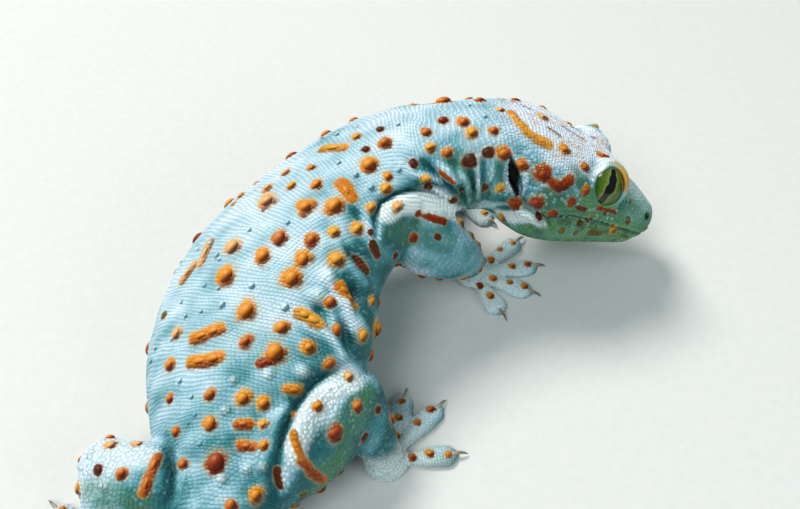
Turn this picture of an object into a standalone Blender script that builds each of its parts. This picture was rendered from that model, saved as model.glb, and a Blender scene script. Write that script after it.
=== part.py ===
"""Life-size tokay gecko at rest on the floor, head lowered and turned to its right.

The body is one loft carried along a bent spine and parted into lengths. The legs are
tapered muscle forms cut to the surface that they grow from. Each toe has its wide pad.
Tables are in millimetres. The meshes are in metres, +Z up, with the origin on the floor
under the middle of the whole animal.
"""

import math

import bmesh
import bpy
import numpy as np
from mathutils import Matrix, Vector

MM = 0.001

# Driving dimensions, in millimetres
HEAD_LENGTH = 40.0
TOTAL_LENGTH = 297.0
NODE_GAP = 0.34
SKIN_GAP = 0.32
BASE_MIDDLE = (-37.6, -46.9)

# The way the head points: lowered, and tipped so that its right side looks up a little
HEAD_PITCH_DEG = -27.0
HEAD_ROLL_DEG = 15.0
SNOUT_TIP = (57.0, 13.0, 12.2)

# Middle of the body from the nape to the tail tip: x, y and height
SPINE = (
    (12.3, 10.4, 32.8),
    (-0.4, 8.8, 31.0),
    (-12.0, 0.9, 27.6),
    (-22.7, -10.9, 22.6),
    (-28.2, -26.4, 17.6),
    (-31.2, -40.8, 14.2),
    (-32.2, -54.6, 11.6),
    (-33.0, -68.0, 8.8),
    (-35.0, -82.0, 6.3),
    (-41.0, -99.0, 5.2),
    (-54.0, -117.0, 4.2),
    (-73.0, -130.0, 3.2),
    (-95.0, -136.0, 2.4),
    (-117.0, -132.0, 1.5),
    (-133.0, -121.0, 0.6),
)

# Distance from the snout, half width, height above and below the middle, squareness
SECTIONS = (
    (0.0, 1.7, 1.6, 1.4, 2.0),
    (1.2, 4.2, 3.4, 3.2, 2.1),
    (4.0, 6.7, 5.1, 4.8, 2.2),
    (9.0, 8.8, 7.0, 6.3, 2.3),
    (16.0, 11.4, 9.2, 7.8, 2.4),
    (24.0, 14.6, 11.4, 9.4, 2.4),
    (31.0, 16.4, 12.7, 10.4, 2.3),
    (37.0, 15.9, 13.1, 10.7, 2.2),
    (44.0, 13.4, 12.7, 10.3, 2.1),
    (50.0, 12.7, 12.5, 10.2, 2.0),
    (58.0, 13.9, 12.8, 10.8, 2.0),
    (66.0, 15.8, 13.0, 12.0, 2.0),
    (78.0, 18.6, 13.2, 13.2, 2.0),
    (92.0, 21.4, 13.2, 14.0, 2.1),
    (106.0, 23.2, 12.8, 14.0, 2.15),
    (120.0, 21.4, 11.8, 14.2, 2.1),
    (131.0, 16.8, 10.6, 13.4, 2.0),
    (140.0, 13.4, 9.6, 12.2, 2.0),
    (150.0, 10.2, 8.2, 9.6, 2.0),
    (157.0, 8.3, 7.2, 7.4, 2.0),
    (166.0, 7.8, 6.8, 6.4, 2.0),
    (185.0, 7.0, 6.0, 5.6, 2.0),
    (212.0, 5.4, 4.8, 4.4, 2.0),
    (240.0, 3.8, 3.4, 3.1, 2.0),
    (268.0, 2.3, 2.1, 2.0, 2.0),
    (288.0, 1.2, 1.1, 1.1, 2.0),
    (296.0, 0.6, 0.6, 0.6, 2.0),
)

# How far the back leans to the left, in degrees, by distance from the snout
LEAN = (
    (0.0, HEAD_ROLL_DEG),
    (40.0, HEAD_ROLL_DEG),
    (60.0, 13.0),
    (80.0, 12.0),
    (110.0, 10.0),
    (140.0, 7.0),
    (160.0, 3.0),
    (185.0, 0.0),
    (300.0, 0.0),
)

# Lengths that the body is parted into: name, start and end from the snout, ring spacing
BODY_NODES = (
    ("neck", 47.5, 59.0, 2.9),
    ("shoulders", 59.0, 77.0, 3.0),
    ("trunk", 77.0, 124.0, 3.0),
    ("pelvis", 124.0, 151.0, 3.0),
    ("tail_base", 151.0, 195.0, 4.0),
    ("tail_middle", 195.0, 245.0, 4.4),
    ("tail_tip", 245.0, 296.0, 4.6),
)
HEAD_RINGS = (0.0, 0.5, 1.2, 2.4, 4.0, 6.2, 8.6, 11.2, 14.0, 17.0, 20.0, 23.0, 26.0, 29.0, 32.0, 35.0, 38.0, 41.0, 44.0)
BODY_SIDES = 36
TAIL_SIDES = 18

# Head features, in the head's own frame: back from the snout tip, to the side, up
EYE_CENTRE = (19.3, 8.4, 6.9)
EYE_RADIUS = 4.7
EYE_OUT = (-0.08, 0.93, 0.30)
LID_RADIUS = 6.3
LID_SUNK = 1.15
LID_OPENING = 4.25
EAR_CENTRE = (41.2, 14.6, 2.6)
EAR_HALF = (1.25, 3.4, 4.5)
EAR_TILT_DEG = 38.0
NOSTRIL_CENTRE = (4.2, 6.1, 2.8)
NOSTRIL_RADIUS = 0.85
MOUTH_LINE = (
    (-4.0, -2.0),
    (3.0, -1.8),
    (8.0, -1.1),
    (15.0, -0.5),
    (21.0, 0.1),
    (26.0, 0.4),
    (30.0, -0.8),
    (33.0, -3.6),
    (35.5, -8.6),
    (37.5, -18.0),
)
MOUTH_GAP = 0.36

# Leg joints: x, y, z, then the flesh's half width there
LEGS = {
    "foreleg_right": (
        ((-5.0, 5.5, 27.5), 7.4),
        ((4.6, -4.0, 24.3), 7.7),
        ((11.6, -2.2, 17.0), 5.8),
        ((16.9, 5.4, 4.4), 3.0),
    ),
    "foreleg_left": (
        ((-3.0, 14.0, 27.0), 7.0),
        ((-1.0, 25.5, 22.0), 6.4),
        ((3.6, 30.5, 15.0), 5.2),
        ((13.4, 30.0, 4.4), 3.0),
    ),
    "hindleg_right": (
        ((-30.5, -56.0, 11.5), 7.6),
        ((-19.5, -48.5, 14.6), 9.2),
        ((-10.0, -39.0, 14.0), 7.4),
        ((-3.0, -44.6, 4.8), 3.4),
    ),
    "hindleg_left": (
        ((-34.0, -57.0, 11.5), 7.4),
        ((-45.0, -56.0, 12.5), 7.6),
        ((-54.3, -52.5, 12.0), 6.0),
        ((-54.0, -66.0, 4.8), 3.4),
    ),
}

# Feet: palm's half width, and each toe's heading in degrees from +X towards +Y, and length
FEET = {
    "foreleg_right": (4.4, ((98.0, 9.0), (43.0, 13.5), (10.0, 13.0), (-22.0, 12.0), (-62.0, 10.5))),
    "foreleg_left": (4.4, ((-40.0, 9.0), (-12.0, 11.5), (16.0, 13.0), (46.0, 13.0), (84.0, 10.5))),
    "hindleg_right": (4.8, ((128.0, 8.5), (100.0, 11.5), (76.0, 14.0), (50.0, 15.0), (8.0, 12.0))),
    "hindleg_left": (4.8, ((54.0, 8.5), (84.0, 11.5), (110.0, 14.0), (138.0, 15.0), (182.0, 12.0))),
}
LEG_SIDES = 14
LIMB_BEND = 0.7
TOE_SIDES = 6
TOE_SHAPE = (
    (0.0, 1.7, 1.9, 1.35),
    (0.32, 1.35, 1.5, 1.05),
    (0.52, 2.0, 1.3, 0.92),
    (0.76, 2.6, 1.2, 0.86),
    (0.93, 2.05, 1.05, 0.75),
    (1.0, 0.9, 0.8, 0.57),
)
CLAW_LENGTH = 2.2
CLAW_RADIUS = 0.5

# Raised scales among the granules
TUBERCLE_WIDTH = 2.0
TUBERCLE_HEIGHT = 1.0
TUBERCLE_CLEAR = 1.8

# Colour, roughness of each material, as the animal shows it
SKIN_BACK = ((0.36, 0.55, 0.60), 0.55)
SKIN_HEAD = ((0.50, 0.62, 0.64), 0.50)
SKIN_LEG = ((0.44, 0.60, 0.60), 0.55)
SKIN_JAW = ((0.30, 0.42, 0.30), 0.55)
EYE_COLOUR = ((0.22, 0.26, 0.06), 0.12)


def clear_scene():
    for obj in list(bpy.data.objects):
        bpy.data.objects.remove(obj, do_unlink=True)


def make_collection(name):
    collection = bpy.data.collections.new(name)
    bpy.context.scene.collection.children.link(collection)
    return collection


def make_material(name, look):
    colour, roughness = look
    material = bpy.data.materials.new(name)
    material.use_nodes = True
    shader = material.node_tree.nodes["Principled BSDF"]
    shader.inputs["Base Color"].default_value = (*colour, 1.0)
    shader.inputs["Roughness"].default_value = roughness
    shader.inputs["Metallic"].default_value = 0.0
    return material


def smooth_between(keys, values, at):
    """Piecewise cubic through the values, with a slope at each key from both neighbours."""
    keys = np.asarray(keys, float)
    values = np.asarray(values, float).reshape(len(keys), -1)
    step = np.diff(keys)[:, None]
    rise = np.diff(values, axis=0) / step
    slope = np.empty_like(values)
    slope[1:-1] = (rise[:-1] * step[1:] + rise[1:] * step[:-1]) / (step[1:] + step[:-1])
    slope[0], slope[-1] = rise[0], rise[-1]
    at = np.clip(np.asarray(at, float), keys[0], keys[-1])
    i = np.clip(np.searchsorted(keys, at, side="right") - 1, 0, len(keys) - 2)
    width = step[i]
    t = (at - keys[i])[:, None] / width
    return (
        (1 + 2 * t) * (1 - t) ** 2 * values[i]
        + t * (1 - t) ** 2 * width * slope[i]
        + t * t * (3 - 2 * t) * values[i + 1]
        + t * t * (t - 1) * width * slope[i + 1]
    )


def head_axes():
    """The head's forward, right and up directions."""
    pitch, roll = math.radians(HEAD_PITCH_DEG), math.radians(HEAD_ROLL_DEG)
    forward = np.array([math.cos(pitch), 0.0, math.sin(pitch)])
    right = np.array([0.0, -1.0, 0.0])
    up = np.cross(right, forward)
    return forward, right * math.cos(roll) + up * math.sin(roll), up * math.cos(roll) - right * math.sin(roll)


def spine_curve():
    """The body's middle line as (distance from the snout, position), closely spaced."""
    forward = head_axes()[0]
    head = [np.array(SNOUT_TIP) - forward * back for back in (0.0, 14.0, 28.0, HEAD_LENGTH)]
    points = np.array(head + [np.array(p) for p in SPINE])
    chord = np.r_[0.0, np.cumsum(np.linalg.norm(np.diff(points, axis=0), axis=1) ** 0.8)]
    fine = np.linspace(0.0, chord[-1], 900)
    line = smooth_between(chord, points, fine)
    length = np.r_[0.0, np.cumsum(np.linalg.norm(np.diff(line, axis=0), axis=1))]
    return length, line


SPINE_LENGTH, SPINE_LINE = spine_curve()


def spine_at(distance):
    distance = np.clip(distance, 0.0, SPINE_LENGTH[-1])
    return np.stack([np.interp(distance, SPINE_LENGTH, SPINE_LINE[:, k]) for k in range(3)], -1)


def body_frames(distance):
    """Middle, right and up of the body's cross-section at each distance from the snout."""
    ahead = spine_at(distance - 1.0) - spine_at(distance + 1.0)
    ahead /= np.linalg.norm(ahead, axis=1)[:, None]
    right = np.cross(ahead, [0.0, 0.0, 1.0])
    right /= np.linalg.norm(right, axis=1)[:, None]
    up = np.cross(right, ahead)
    lean = np.radians(smooth_between([k[0] for k in LEAN], [k[1] for k in LEAN], distance))
    cosine, sine = np.cos(lean), np.sin(lean)
    return spine_at(distance), right * cosine + up * sine, up * cosine - right * sine


def ring_points(middle, right, up, half_width, above, below, squareness, sides):
    """A superellipse of the given half sizes in the plane of right and up."""
    turn = np.linspace(0.0, 2.0 * np.pi, sides, endpoint=False)
    power = 2.0 / squareness
    across = np.sign(np.cos(turn)) * np.abs(np.cos(turn)) ** power * half_width
    rise = np.sign(np.sin(turn)) * np.abs(np.sin(turn)) ** power
    rise = np.where(rise > 0.0, rise * above, rise * below)
    return middle + across[:, None] * right + rise[:, None] * up


def body_rings(distances, sides, grow=0.0):
    """Rings of the body's loft. Whatever would sink below the floor is pressed flat on it."""
    table = np.array(SECTIONS)
    sizes = smooth_between(table[:, 0], table[:, 1:], distances)
    middle, right, up = body_frames(np.asarray(distances, float))
    rings = np.array(
        [
            ring_points(middle[k], right[k], up[k], *(sizes[k, :3] + grow), sizes[k, 3], sides)
            for k in range(len(distances))
        ]
    )
    rings[..., 2] = np.maximum(rings[..., 2], -grow)
    return rings


def to_metres(points):
    moved = np.asarray(points, float) - np.array([*BASE_MIDDLE, 0.0])
    return moved * MM


def loft(name, rings, collection, material=None, start_tip=None, end_tip=None):
    """Skins the rings with quads. A tip point closes an end to a point, and a flat face does otherwise."""
    count, sides = rings.shape[:2]
    bm = bmesh.new()
    rows = [[bm.verts.new(p) for p in to_metres(ring)] for ring in rings]
    for a, b in zip(rows[:-1], rows[1:]):
        for k in range(sides):
            bm.faces.new((a[k], a[(k + 1) % sides], b[(k + 1) % sides], b[k]))
    for row, tip in ((rows[0], start_tip), (rows[-1], end_tip)):
        if tip is None:
            bm.faces.new(row)
            continue
        point = bm.verts.new(to_metres([tip])[0])
        for k in range(sides):
            bm.faces.new((row[k], row[(k + 1) % sides], point))
    bmesh.ops.recalc_face_normals(bm, faces=bm.faces)
    mesh = bpy.data.meshes.new(name)
    bm.to_mesh(mesh)
    bm.free()
    obj = bpy.data.objects.new(name, mesh)
    collection.objects.link(obj)
    if material:
        mesh.materials.append(material)
    return obj


def hide_cutter(obj):
    obj.hide_render = True
    obj.display_type = "WIRE"


def apply_modifiers(obj):
    graph = bpy.context.evaluated_depsgraph_get()
    mesh = bpy.data.meshes.new_from_object(obj.evaluated_get(graph))
    obj.modifiers.clear()
    obj.data = mesh


def keep_largest(obj):
    """Drops every loose scrap but the node's largest closed surface."""
    bm = bmesh.new()
    bm.from_mesh(obj.data)
    bmesh.ops.remove_doubles(bm, verts=bm.verts, dist=0.00001)
    left, pieces = set(bm.verts), []
    while left:
        stack, piece = [left.pop()], []
        while stack:
            vert = stack.pop()
            piece.append(vert)
            for edge in vert.link_edges:
                other = edge.other_vert(vert)
                if other in left:
                    left.remove(other)
                    stack.append(other)
        pieces.append(piece)
    pieces.sort(key=len)
    for piece in pieces[:-1]:
        bmesh.ops.delete(bm, geom=piece, context="VERTS")
    bm.to_mesh(obj.data)
    bm.free()


def boolean(obj, operation, cutters, solver="EXACT"):
    """Cuts obj by, or joins it to, each of the closed cutters, then applies the result."""
    for cutter in cutters:
        modifier = obj.modifiers.new(operation.lower(), "BOOLEAN")
        modifier.operation = operation
        modifier.object = cutter
        modifier.solver = solver
    apply_modifiers(obj)


def head_matrix():
    """Carries head coordinates (back from the snout, right, up) in metres to the model."""
    forward, right, up = head_axes()
    matrix = Matrix.Identity(4)
    matrix.col[0][:3] = -forward
    matrix.col[1][:3] = right
    matrix.col[2][:3] = up
    matrix.col[3][:3] = to_metres([SNOUT_TIP])[0]
    return matrix


def head_point(back, side, up):
    forward, right, top = head_axes()
    return np.array(SNOUT_TIP) - forward * back + right * side + top * up


def ball(name, centre, radius, collection, segments=24, rings=14, scale=(1, 1, 1), axes=None):
    bm = bmesh.new()
    bmesh.ops.create_uvsphere(bm, u_segments=segments, v_segments=rings, radius=radius * MM)
    mesh = bpy.data.meshes.new(name)
    bm.to_mesh(mesh)
    bm.free()
    obj = bpy.data.objects.new(name, mesh)
    place = (axes or Matrix.Identity(4)).to_3x3().to_4x4() @ Matrix.Diagonal((*scale, 1.0))
    mesh.transform(place)
    obj.location = to_metres([centre])[0]
    collection.objects.link(obj)
    bpy.context.view_layer.update()
    return obj


def rod(name, start, end, radius, collection, sides=24):
    """A straight cylinder between two points."""
    a, b = Vector(to_metres([start])[0]), Vector(to_metres([end])[0])
    bm = bmesh.new()
    bmesh.ops.create_cone(
        bm, cap_ends=True, segments=sides, radius1=radius * MM, radius2=radius * MM, depth=(b - a).length
    )
    mesh = bpy.data.meshes.new(name)
    bm.to_mesh(mesh)
    bm.free()
    obj = bpy.data.objects.new(name, mesh)
    turn = (b - a).to_track_quat("Z", "Y").to_matrix().to_4x4()
    mesh.transform(turn)
    obj.location = (a + b) / 2
    collection.objects.link(obj)
    bpy.context.view_layer.update()
    return obj


def eye_frame(side):
    """Centre of the eyeball and the way it looks, for side 1 (right) or -1 (left)."""
    back, across, rise = EYE_CENTRE
    centre = head_point(back, across * side, rise)
    ahead, out, up = EYE_OUT
    look = head_point(-ahead, out * side, up) - np.array(SNOUT_TIP)
    return centre, look / np.linalg.norm(look)


def make_mouth_cutter(cutters):
    """A thin bent wall along the mouth line and down behind the jaw's corner."""
    half = MOUTH_GAP / 2
    line = np.array(MOUTH_LINE)
    run = np.gradient(line, axis=0)
    normal = np.stack([-run[:, 1], run[:, 0]], -1)
    normal /= np.linalg.norm(normal, axis=1)[:, None]
    outline = np.vstack([line + normal * half, (line - normal * half)[::-1]])
    curve = bpy.data.curves.new("mouth_cut", "CURVE")
    curve.dimensions = "2D"
    curve.fill_mode = "BOTH"
    curve.extrude = 30.0 * MM
    spline = curve.splines.new("POLY")
    spline.points.add(len(outline) - 1)
    for point, (back, up) in zip(spline.points, outline):
        point.co = (back * MM, up * MM, 0.0, 1.0)
    spline.use_cyclic_u = True
    drawn = bpy.data.objects.new("mouth_cut", curve)
    cutters.objects.link(drawn)
    bpy.context.view_layer.update()
    mesh = bpy.data.meshes.new_from_object(drawn.evaluated_get(bpy.context.evaluated_depsgraph_get()))
    bpy.data.objects.remove(drawn)
    upright = Matrix(((1, 0, 0, 0), (0, 0, -1, 0), (0, 1, 0, 0), (0, 0, 0, 1)))
    mesh.transform(head_matrix() @ upright)
    bm = bmesh.new()
    bm.from_mesh(mesh)
    bmesh.ops.remove_doubles(bm, verts=bm.verts, dist=0.000001)
    bmesh.ops.recalc_face_normals(bm, faces=bm.faces)
    bm.to_mesh(mesh)
    bm.free()
    cutter = bpy.data.objects.new("mouth_cut", mesh)
    cutters.objects.link(cutter)
    return cutter


def split_loose(obj, other_name, collection, material):
    """Parts an object in two loose halves: the one that reaches higher keeps the name."""
    bm = bmesh.new()
    bm.from_mesh(obj.data)
    bmesh.ops.remove_doubles(bm, verts=bm.verts, dist=0.000001)
    seen, pieces = set(), []
    for start in bm.verts:
        if start in seen:
            continue
        stack, piece = [start], []
        seen.add(start)
        while stack:
            vert = stack.pop()
            piece.append(vert)
            for edge in vert.link_edges:
                other = edge.other_vert(vert)
                if other not in seen:
                    seen.add(other)
                    stack.append(other)
        pieces.append(piece)
    pieces.sort(key=len, reverse=True)
    pieces = sorted(pieces[:2], key=lambda piece: max(v.co.z for v in piece))
    lower, upper = (set(v.index for v in piece) for piece in pieces)
    bm.to_mesh(obj.data)
    bm.free()
    halves = []
    for keep in (upper, lower):
        part = bmesh.new()
        part.from_mesh(obj.data)
        part.verts.ensure_lookup_table()
        gone = [v for v in part.verts if v.index not in keep]
        bmesh.ops.delete(part, geom=gone, context="VERTS")
        mesh = bpy.data.meshes.new(obj.name)
        part.to_mesh(mesh)
        part.free()
        halves.append(mesh)
    obj.data = halves[0]
    other = bpy.data.objects.new(other_name, halves[1])
    halves[1].materials.clear()
    halves[1].materials.append(material)
    collection.objects.link(other)
    return other


def make_head(parts, cutters, skin, jaw_skin, eye_material):
    """Head with lid rims, sockets, ear cups and nostrils, parted from the jaw at the mouth line."""
    rings = body_rings(HEAD_RINGS + (BODY_NODES[0][1] - NODE_GAP / 2,), BODY_SIDES)
    tip = head_point(-0.25, 0.0, 0.0)
    head = loft("head", rings, parts, skin, start_tip=tip)
    lids, holes = [], []
    for side, label in ((1, "right"), (-1, "left")):
        centre, look = eye_frame(side)
        lids.append(ball(f"lid_{label}", centre - look * LID_SUNK, LID_RADIUS, cutters, 20, 10))
        holes.append(ball(f"socket_{label}", centre, EYE_RADIUS + SKIN_GAP, cutters, 18, 10))
        holes.append(rod(f"opening_{label}", centre, centre + look * 14.0, LID_OPENING, cutters, 18))
        back, across, up = EAR_CENTRE
        tilt = head_matrix().to_3x3().to_4x4() @ Matrix.Rotation(math.radians(EAR_TILT_DEG), 4, "Y")
        ear = ball(f"ear_{label}", head_point(back, across * side, up), 1.0, cutters, 12, 8, EAR_HALF, tilt)
        holes.append(ear)
        back, across, up = NOSTRIL_CENTRE
        holes.append(ball(f"nostril_{label}", head_point(back, across * side, up), NOSTRIL_RADIUS, cutters, 8, 6))
    boolean(head, "UNION", lids)
    boolean(head, "DIFFERENCE", holes)
    boolean(head, "DIFFERENCE", [make_mouth_cutter(cutters)])
    split_loose(head, "lower_jaw", parts, jaw_skin)
    for side, label in ((1, "right"), (-1, "left")):
        eye = ball(f"eye_{label}", eye_frame(side)[0], EYE_RADIUS, parts, 16, 10)
        eye.data.materials.append(eye_material)
    return head


def make_body(parts, materials):
    nodes = []
    for name, start, end, spacing in BODY_NODES:
        steps = max(2, round((end - start) / spacing))
        distances = np.linspace(start + NODE_GAP / 2, end - NODE_GAP / 2, steps + 1)
        sides = TAIL_SIDES if name.startswith("tail") else BODY_SIDES
        rings = body_rings(distances, sides)
        tip = spine_at(np.array([TOTAL_LENGTH]))[0] if name == "tail_tip" else None
        node = loft(name, rings, parts, materials, end_tip=tip)
        columns = range(-2, sides // 2 + 1) if sides == BODY_SIDES else range(0, sides // 2)
        raise_tubercles(node, sides, range(0, steps, 2), columns, clear_of_legs)
        nodes.append(node)
    return nodes


def limb_line(joints):
    """A limb's middle line, closely spaced, with its length so far and its half width.

    Two joints give a straight line. Three give one even bend that passes near the middle joint.
    """
    points = np.array([joint[0] for joint in joints], float)
    halves = np.array([joint[1] for joint in joints], float)
    share = np.linspace(0.0, 1.0, 121)[:, None]
    if len(points) == 2:
        line = points[0] * (1 - share) + points[1] * share
    else:
        control = points[1] + LIMB_BEND * (points[1] - (points[0] + points[2]) / 2)
        line = points[0] * (1 - share) ** 2 + 2 * control * share * (1 - share) + points[2] * share**2
    length = np.r_[0.0, np.cumsum(np.linalg.norm(np.diff(line, axis=0), axis=1))]
    half = smooth_between(np.linspace(0.0, 1.0, len(points)), halves, share[:, 0])[:, 0]
    return line, length, half


def muscle_rings(joints, swell, grow):
    """A limb form along its middle line, round at both ends and swollen between them."""
    line, reach, halves = limb_line(joints)
    halves = halves + grow + swell * np.sin(np.pi * reach / reach[-1])
    length, a, b = reach[-1], halves[0], halves[-1]
    inner = np.linspace(0.0, length, 3 + 2 * len(joints))
    places = np.r_[-a * 0.86, -a * 0.5, inner, length + b * 0.5, length + b * 0.86]
    steer = np.gradient(line, axis=0)

    def along(place):
        inside = min(max(place, 0.0), length)
        middle = np.array([np.interp(inside, reach, line[:, k]) for k in range(3)])
        ahead = np.array([np.interp(inside, reach, steer[:, k]) for k in range(3)])
        ahead /= np.linalg.norm(ahead)
        return middle + ahead * (place - inside), ahead

    rings = []
    for place in places:
        middle, ahead = along(place)
        half = np.interp(place, reach, halves)
        if place < 0.0:
            half = math.sqrt(a * a - place * place)
        if place > length:
            half = math.sqrt(b * b - (place - length) ** 2)
        side = np.cross(ahead, [0.0, 0.0, 1.0])
        side /= np.linalg.norm(side)
        rings.append(ring_points(middle, side, np.cross(side, ahead), half, half, half, 2.0, LEG_SIDES))
    rings = np.array(rings)
    rings[..., 2] = np.maximum(rings[..., 2], -grow)
    tips = np.array([along(-a)[0], along(length + b)[0]])
    tips[:, 2] = np.maximum(tips[:, 2], -grow)
    return rings, tips


def leg_segment(name, joints, swell, collection, material=None, grow=0.0):
    rings, tips = muscle_rings(joints, swell, grow)
    return loft(name, rings, collection, material, start_tip=tips[0], end_tip=tips[1])


def clear_of_limb(point, joints, margin):
    """Whether a point, in millimetres, keeps the margin from the flesh along these joints."""
    for (a, a_half), (b, b_half) in zip(joints[:-1], joints[1:]):
        a, b = np.array(a), np.array(b)
        share = np.clip(np.dot(point - a, b - a) / np.dot(b - a, b - a), 0.0, 1.0)
        gap = np.linalg.norm(point - a - (b - a) * share) - (a_half + (b_half - a_half) * share)
        if gap < margin:
            return False
    return True


def clear_of_legs(point):
    return all(clear_of_limb(point, joints, TUBERCLE_CLEAR) for joints in LEGS.values())


def clear_of_body(point, margin):
    """Whether a point, in millimetres, keeps the margin from the body's own surface."""
    near = int(np.argmin(np.linalg.norm(SPINE_LINE - point, axis=1)))
    table = np.array(SECTIONS)
    half = smooth_between(table[:, 0], table[:, 1], [SPINE_LENGTH[near]])[0, 0]
    return np.linalg.norm(SPINE_LINE[near] - point) > half + margin


def raise_tubercles(obj, sides, rows, columns, clear):
    """Turns a staggered choice of a loft's quads into low pointed scales."""
    bm = bmesh.new()
    bm.from_mesh(obj.data)
    bm.faces.ensure_lookup_table()
    middle = np.array([*BASE_MIDDLE, 0.0])
    chosen = []
    for row in rows:
        for column in columns:
            if (column + row // 2) % 2:
                continue
            face = bm.faces[row * sides + column % sides]
            centre = np.array(face.calc_center_median()) / MM + middle
            if len(face.verts) == 4 and centre[2] > 3.0 and clear(centre):
                chosen.append(face)
    for face in chosen:
        size = math.sqrt(face.calc_area())
        inset = max((size - TUBERCLE_WIDTH * MM) / 2, size * 0.16)
        bmesh.ops.inset_individual(bm, faces=[face], thickness=inset)
        high = TUBERCLE_HEIGHT * min(1.0, size / (3.0 * MM))
        bmesh.ops.poke(bm, faces=[face], offset=high * MM)
    bm.to_mesh(obj.data)
    bm.free()


def toe(name, root, heading, length, collection, material):
    """One toe with its widened pad, reaching a little below the floor that the foot is cut at."""
    turn = math.radians(heading)
    ahead = np.array([math.cos(turn), math.sin(turn), 0.0])
    side = np.array([math.sin(turn), -math.cos(turn), 0.0])
    up = np.array([0.0, 0.0, 1.0])
    rings = []
    for share, half, high, centre in TOE_SHAPE:
        middle = root + ahead * length * share
        middle[2] = centre
        rings.append(ring_points(middle, side, up, half, high, high, 2.2, TOE_SIDES))
    end = root + ahead * (length + 0.5)
    end[2] = 0.6
    return loft(name, np.array(rings), collection, material, end_tip=end)


def claw(name, root, heading, length, collection, material):
    turn = math.radians(heading)
    ahead = np.array([math.cos(turn), math.sin(turn), 0.0])
    side = np.array([math.sin(turn), -math.cos(turn), 0.0])
    rings = []
    for out, half, height in ((-1.2, CLAW_RADIUS, 1.1), (0.4, CLAW_RADIUS * 0.8, 1.35), (1.3, CLAW_RADIUS * 0.45, 1.1)):
        middle = root + ahead * (length + out)
        middle[2] = height
        rings.append(ring_points(middle, side, np.array([0.0, 0.0, 1.0]), half, half, half, 2.0, 5))
    tip = root + ahead * (length + CLAW_LENGTH)
    tip[2] = 0.35
    return loft(name, np.array(rings), collection, material, end_tip=tip)


def make_foot(leg, ankle, collection, cutters, floor, material):
    """Palm, five padded toes and their claws, joined into one body and cut flat at the floor."""
    palm_half, toes = FEET[leg]
    x, y, z = ankle
    foot_name = "forefoot" if leg.startswith("fore") else "hindfoot"
    foot = ball(
        f"{foot_name}_{leg.split('_')[1]}", (x, y, 1.7), palm_half, collection, 12, 8, (1.0, 1.0, 0.55)
    )
    foot.data.transform(Matrix.Translation(foot.location))
    foot.location = (0.0, 0.0, 0.0)
    foot.data.materials.append(material)
    root = np.array([x, y, 0.0])
    joined = []
    for number, (heading, reach) in enumerate(toes, 1):
        length = reach + palm_half * 0.6
        joined.append(toe(f"{leg}_toe_{number}", root, heading, length, cutters, material))
        joined.append(claw(f"{leg}_claw_{number}", root, heading, length, cutters, material))
    boolean(foot, "UNION", joined)
    boolean(foot, "DIFFERENCE", [floor])
    return foot


def make_leg(leg, parts, cutters, body_cutter, floor, material):
    """Upper part, lower part and foot, each cut to the surface that it grows from."""
    joints = LEGS[leg]
    side = leg.split("_")[1]
    fore = leg.startswith("fore")
    upper_name, lower_name = ("upper_arm", "forearm") if fore else ("thigh", "shank")
    upper = leg_segment(f"{upper_name}_{side}", joints[:3], 0.5, parts, material)
    if not fore:
        raise_tubercles(
            upper,
            LEG_SIDES,
            range(3, 11, 2),
            range(1, 8),
            lambda p: clear_of_body(p, TUBERCLE_CLEAR) and clear_of_limb(p, joints[2:], TUBERCLE_CLEAR),
        )
    grown = leg_segment(f"{leg}_grown_upper", joints[:3], 0.5, cutters, grow=SKIN_GAP)
    boolean(upper, "DIFFERENCE", [body_cutter])
    keep_largest(upper)
    lower = leg_segment(f"{lower_name}_{side}", joints[2:], 0.3, parts, material)
    boolean(lower, "DIFFERENCE", [grown, body_cutter])
    keep_largest(lower)
    lower_grown = leg_segment(f"{leg}_grown_lower", joints[2:], 0.3, cutters, grow=SKIN_GAP)
    foot = make_foot(leg, joints[3][0], parts, cutters, floor, material)
    boolean(foot, "DIFFERENCE", [lower_grown, grown, body_cutter])
    keep_largest(foot)
    return upper, lower, foot


def floor_slab(cutters):
    bm = bmesh.new()
    bmesh.ops.create_cube(bm, size=1.0)
    bmesh.ops.scale(bm, verts=bm.verts, vec=(0.6, 0.6, 0.02))
    bmesh.ops.translate(bm, verts=bm.verts, vec=(0.0, 0.0, -0.01))
    mesh = bpy.data.meshes.new("floor_slab")
    bm.to_mesh(mesh)
    bm.free()
    slab = bpy.data.objects.new("floor_slab", mesh)
    cutters.objects.link(slab)
    return slab


def shade(obj):
    obj.data.shade_smooth()
    obj.data.set_sharp_from_angle(angle=math.radians(40.0))


def main():
    clear_scene()
    parts = make_collection("tokay_gecko")
    cutters = make_collection("cutters")
    back = make_material("skin_back", SKIN_BACK)
    head_skin = make_material("skin_head", SKIN_HEAD)
    leg_skin = make_material("skin_leg", SKIN_LEG)
    jaw_skin = make_material("skin_jaw", SKIN_JAW)
    eye_material = make_material("eye", EYE_COLOUR)
    make_head(parts, cutters, head_skin, jaw_skin, eye_material)
    make_body(parts, back)
    whole = body_rings(np.linspace(30.0, 190.0, 54), BODY_SIDES, grow=SKIN_GAP)
    body_cutter = loft("body_cutter", whole, cutters)
    floor = floor_slab(cutters)
    for leg in LEGS:
        make_leg(leg, parts, cutters, body_cutter, floor, leg_skin)
    for obj in cutters.all_objects:
        hide_cutter(obj)
    for obj in parts.objects:
        shade(obj)


main()
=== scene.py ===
import math

import bpy
import numpy as np
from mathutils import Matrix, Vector
from mathutils.bvhtree import BVHTree


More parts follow.
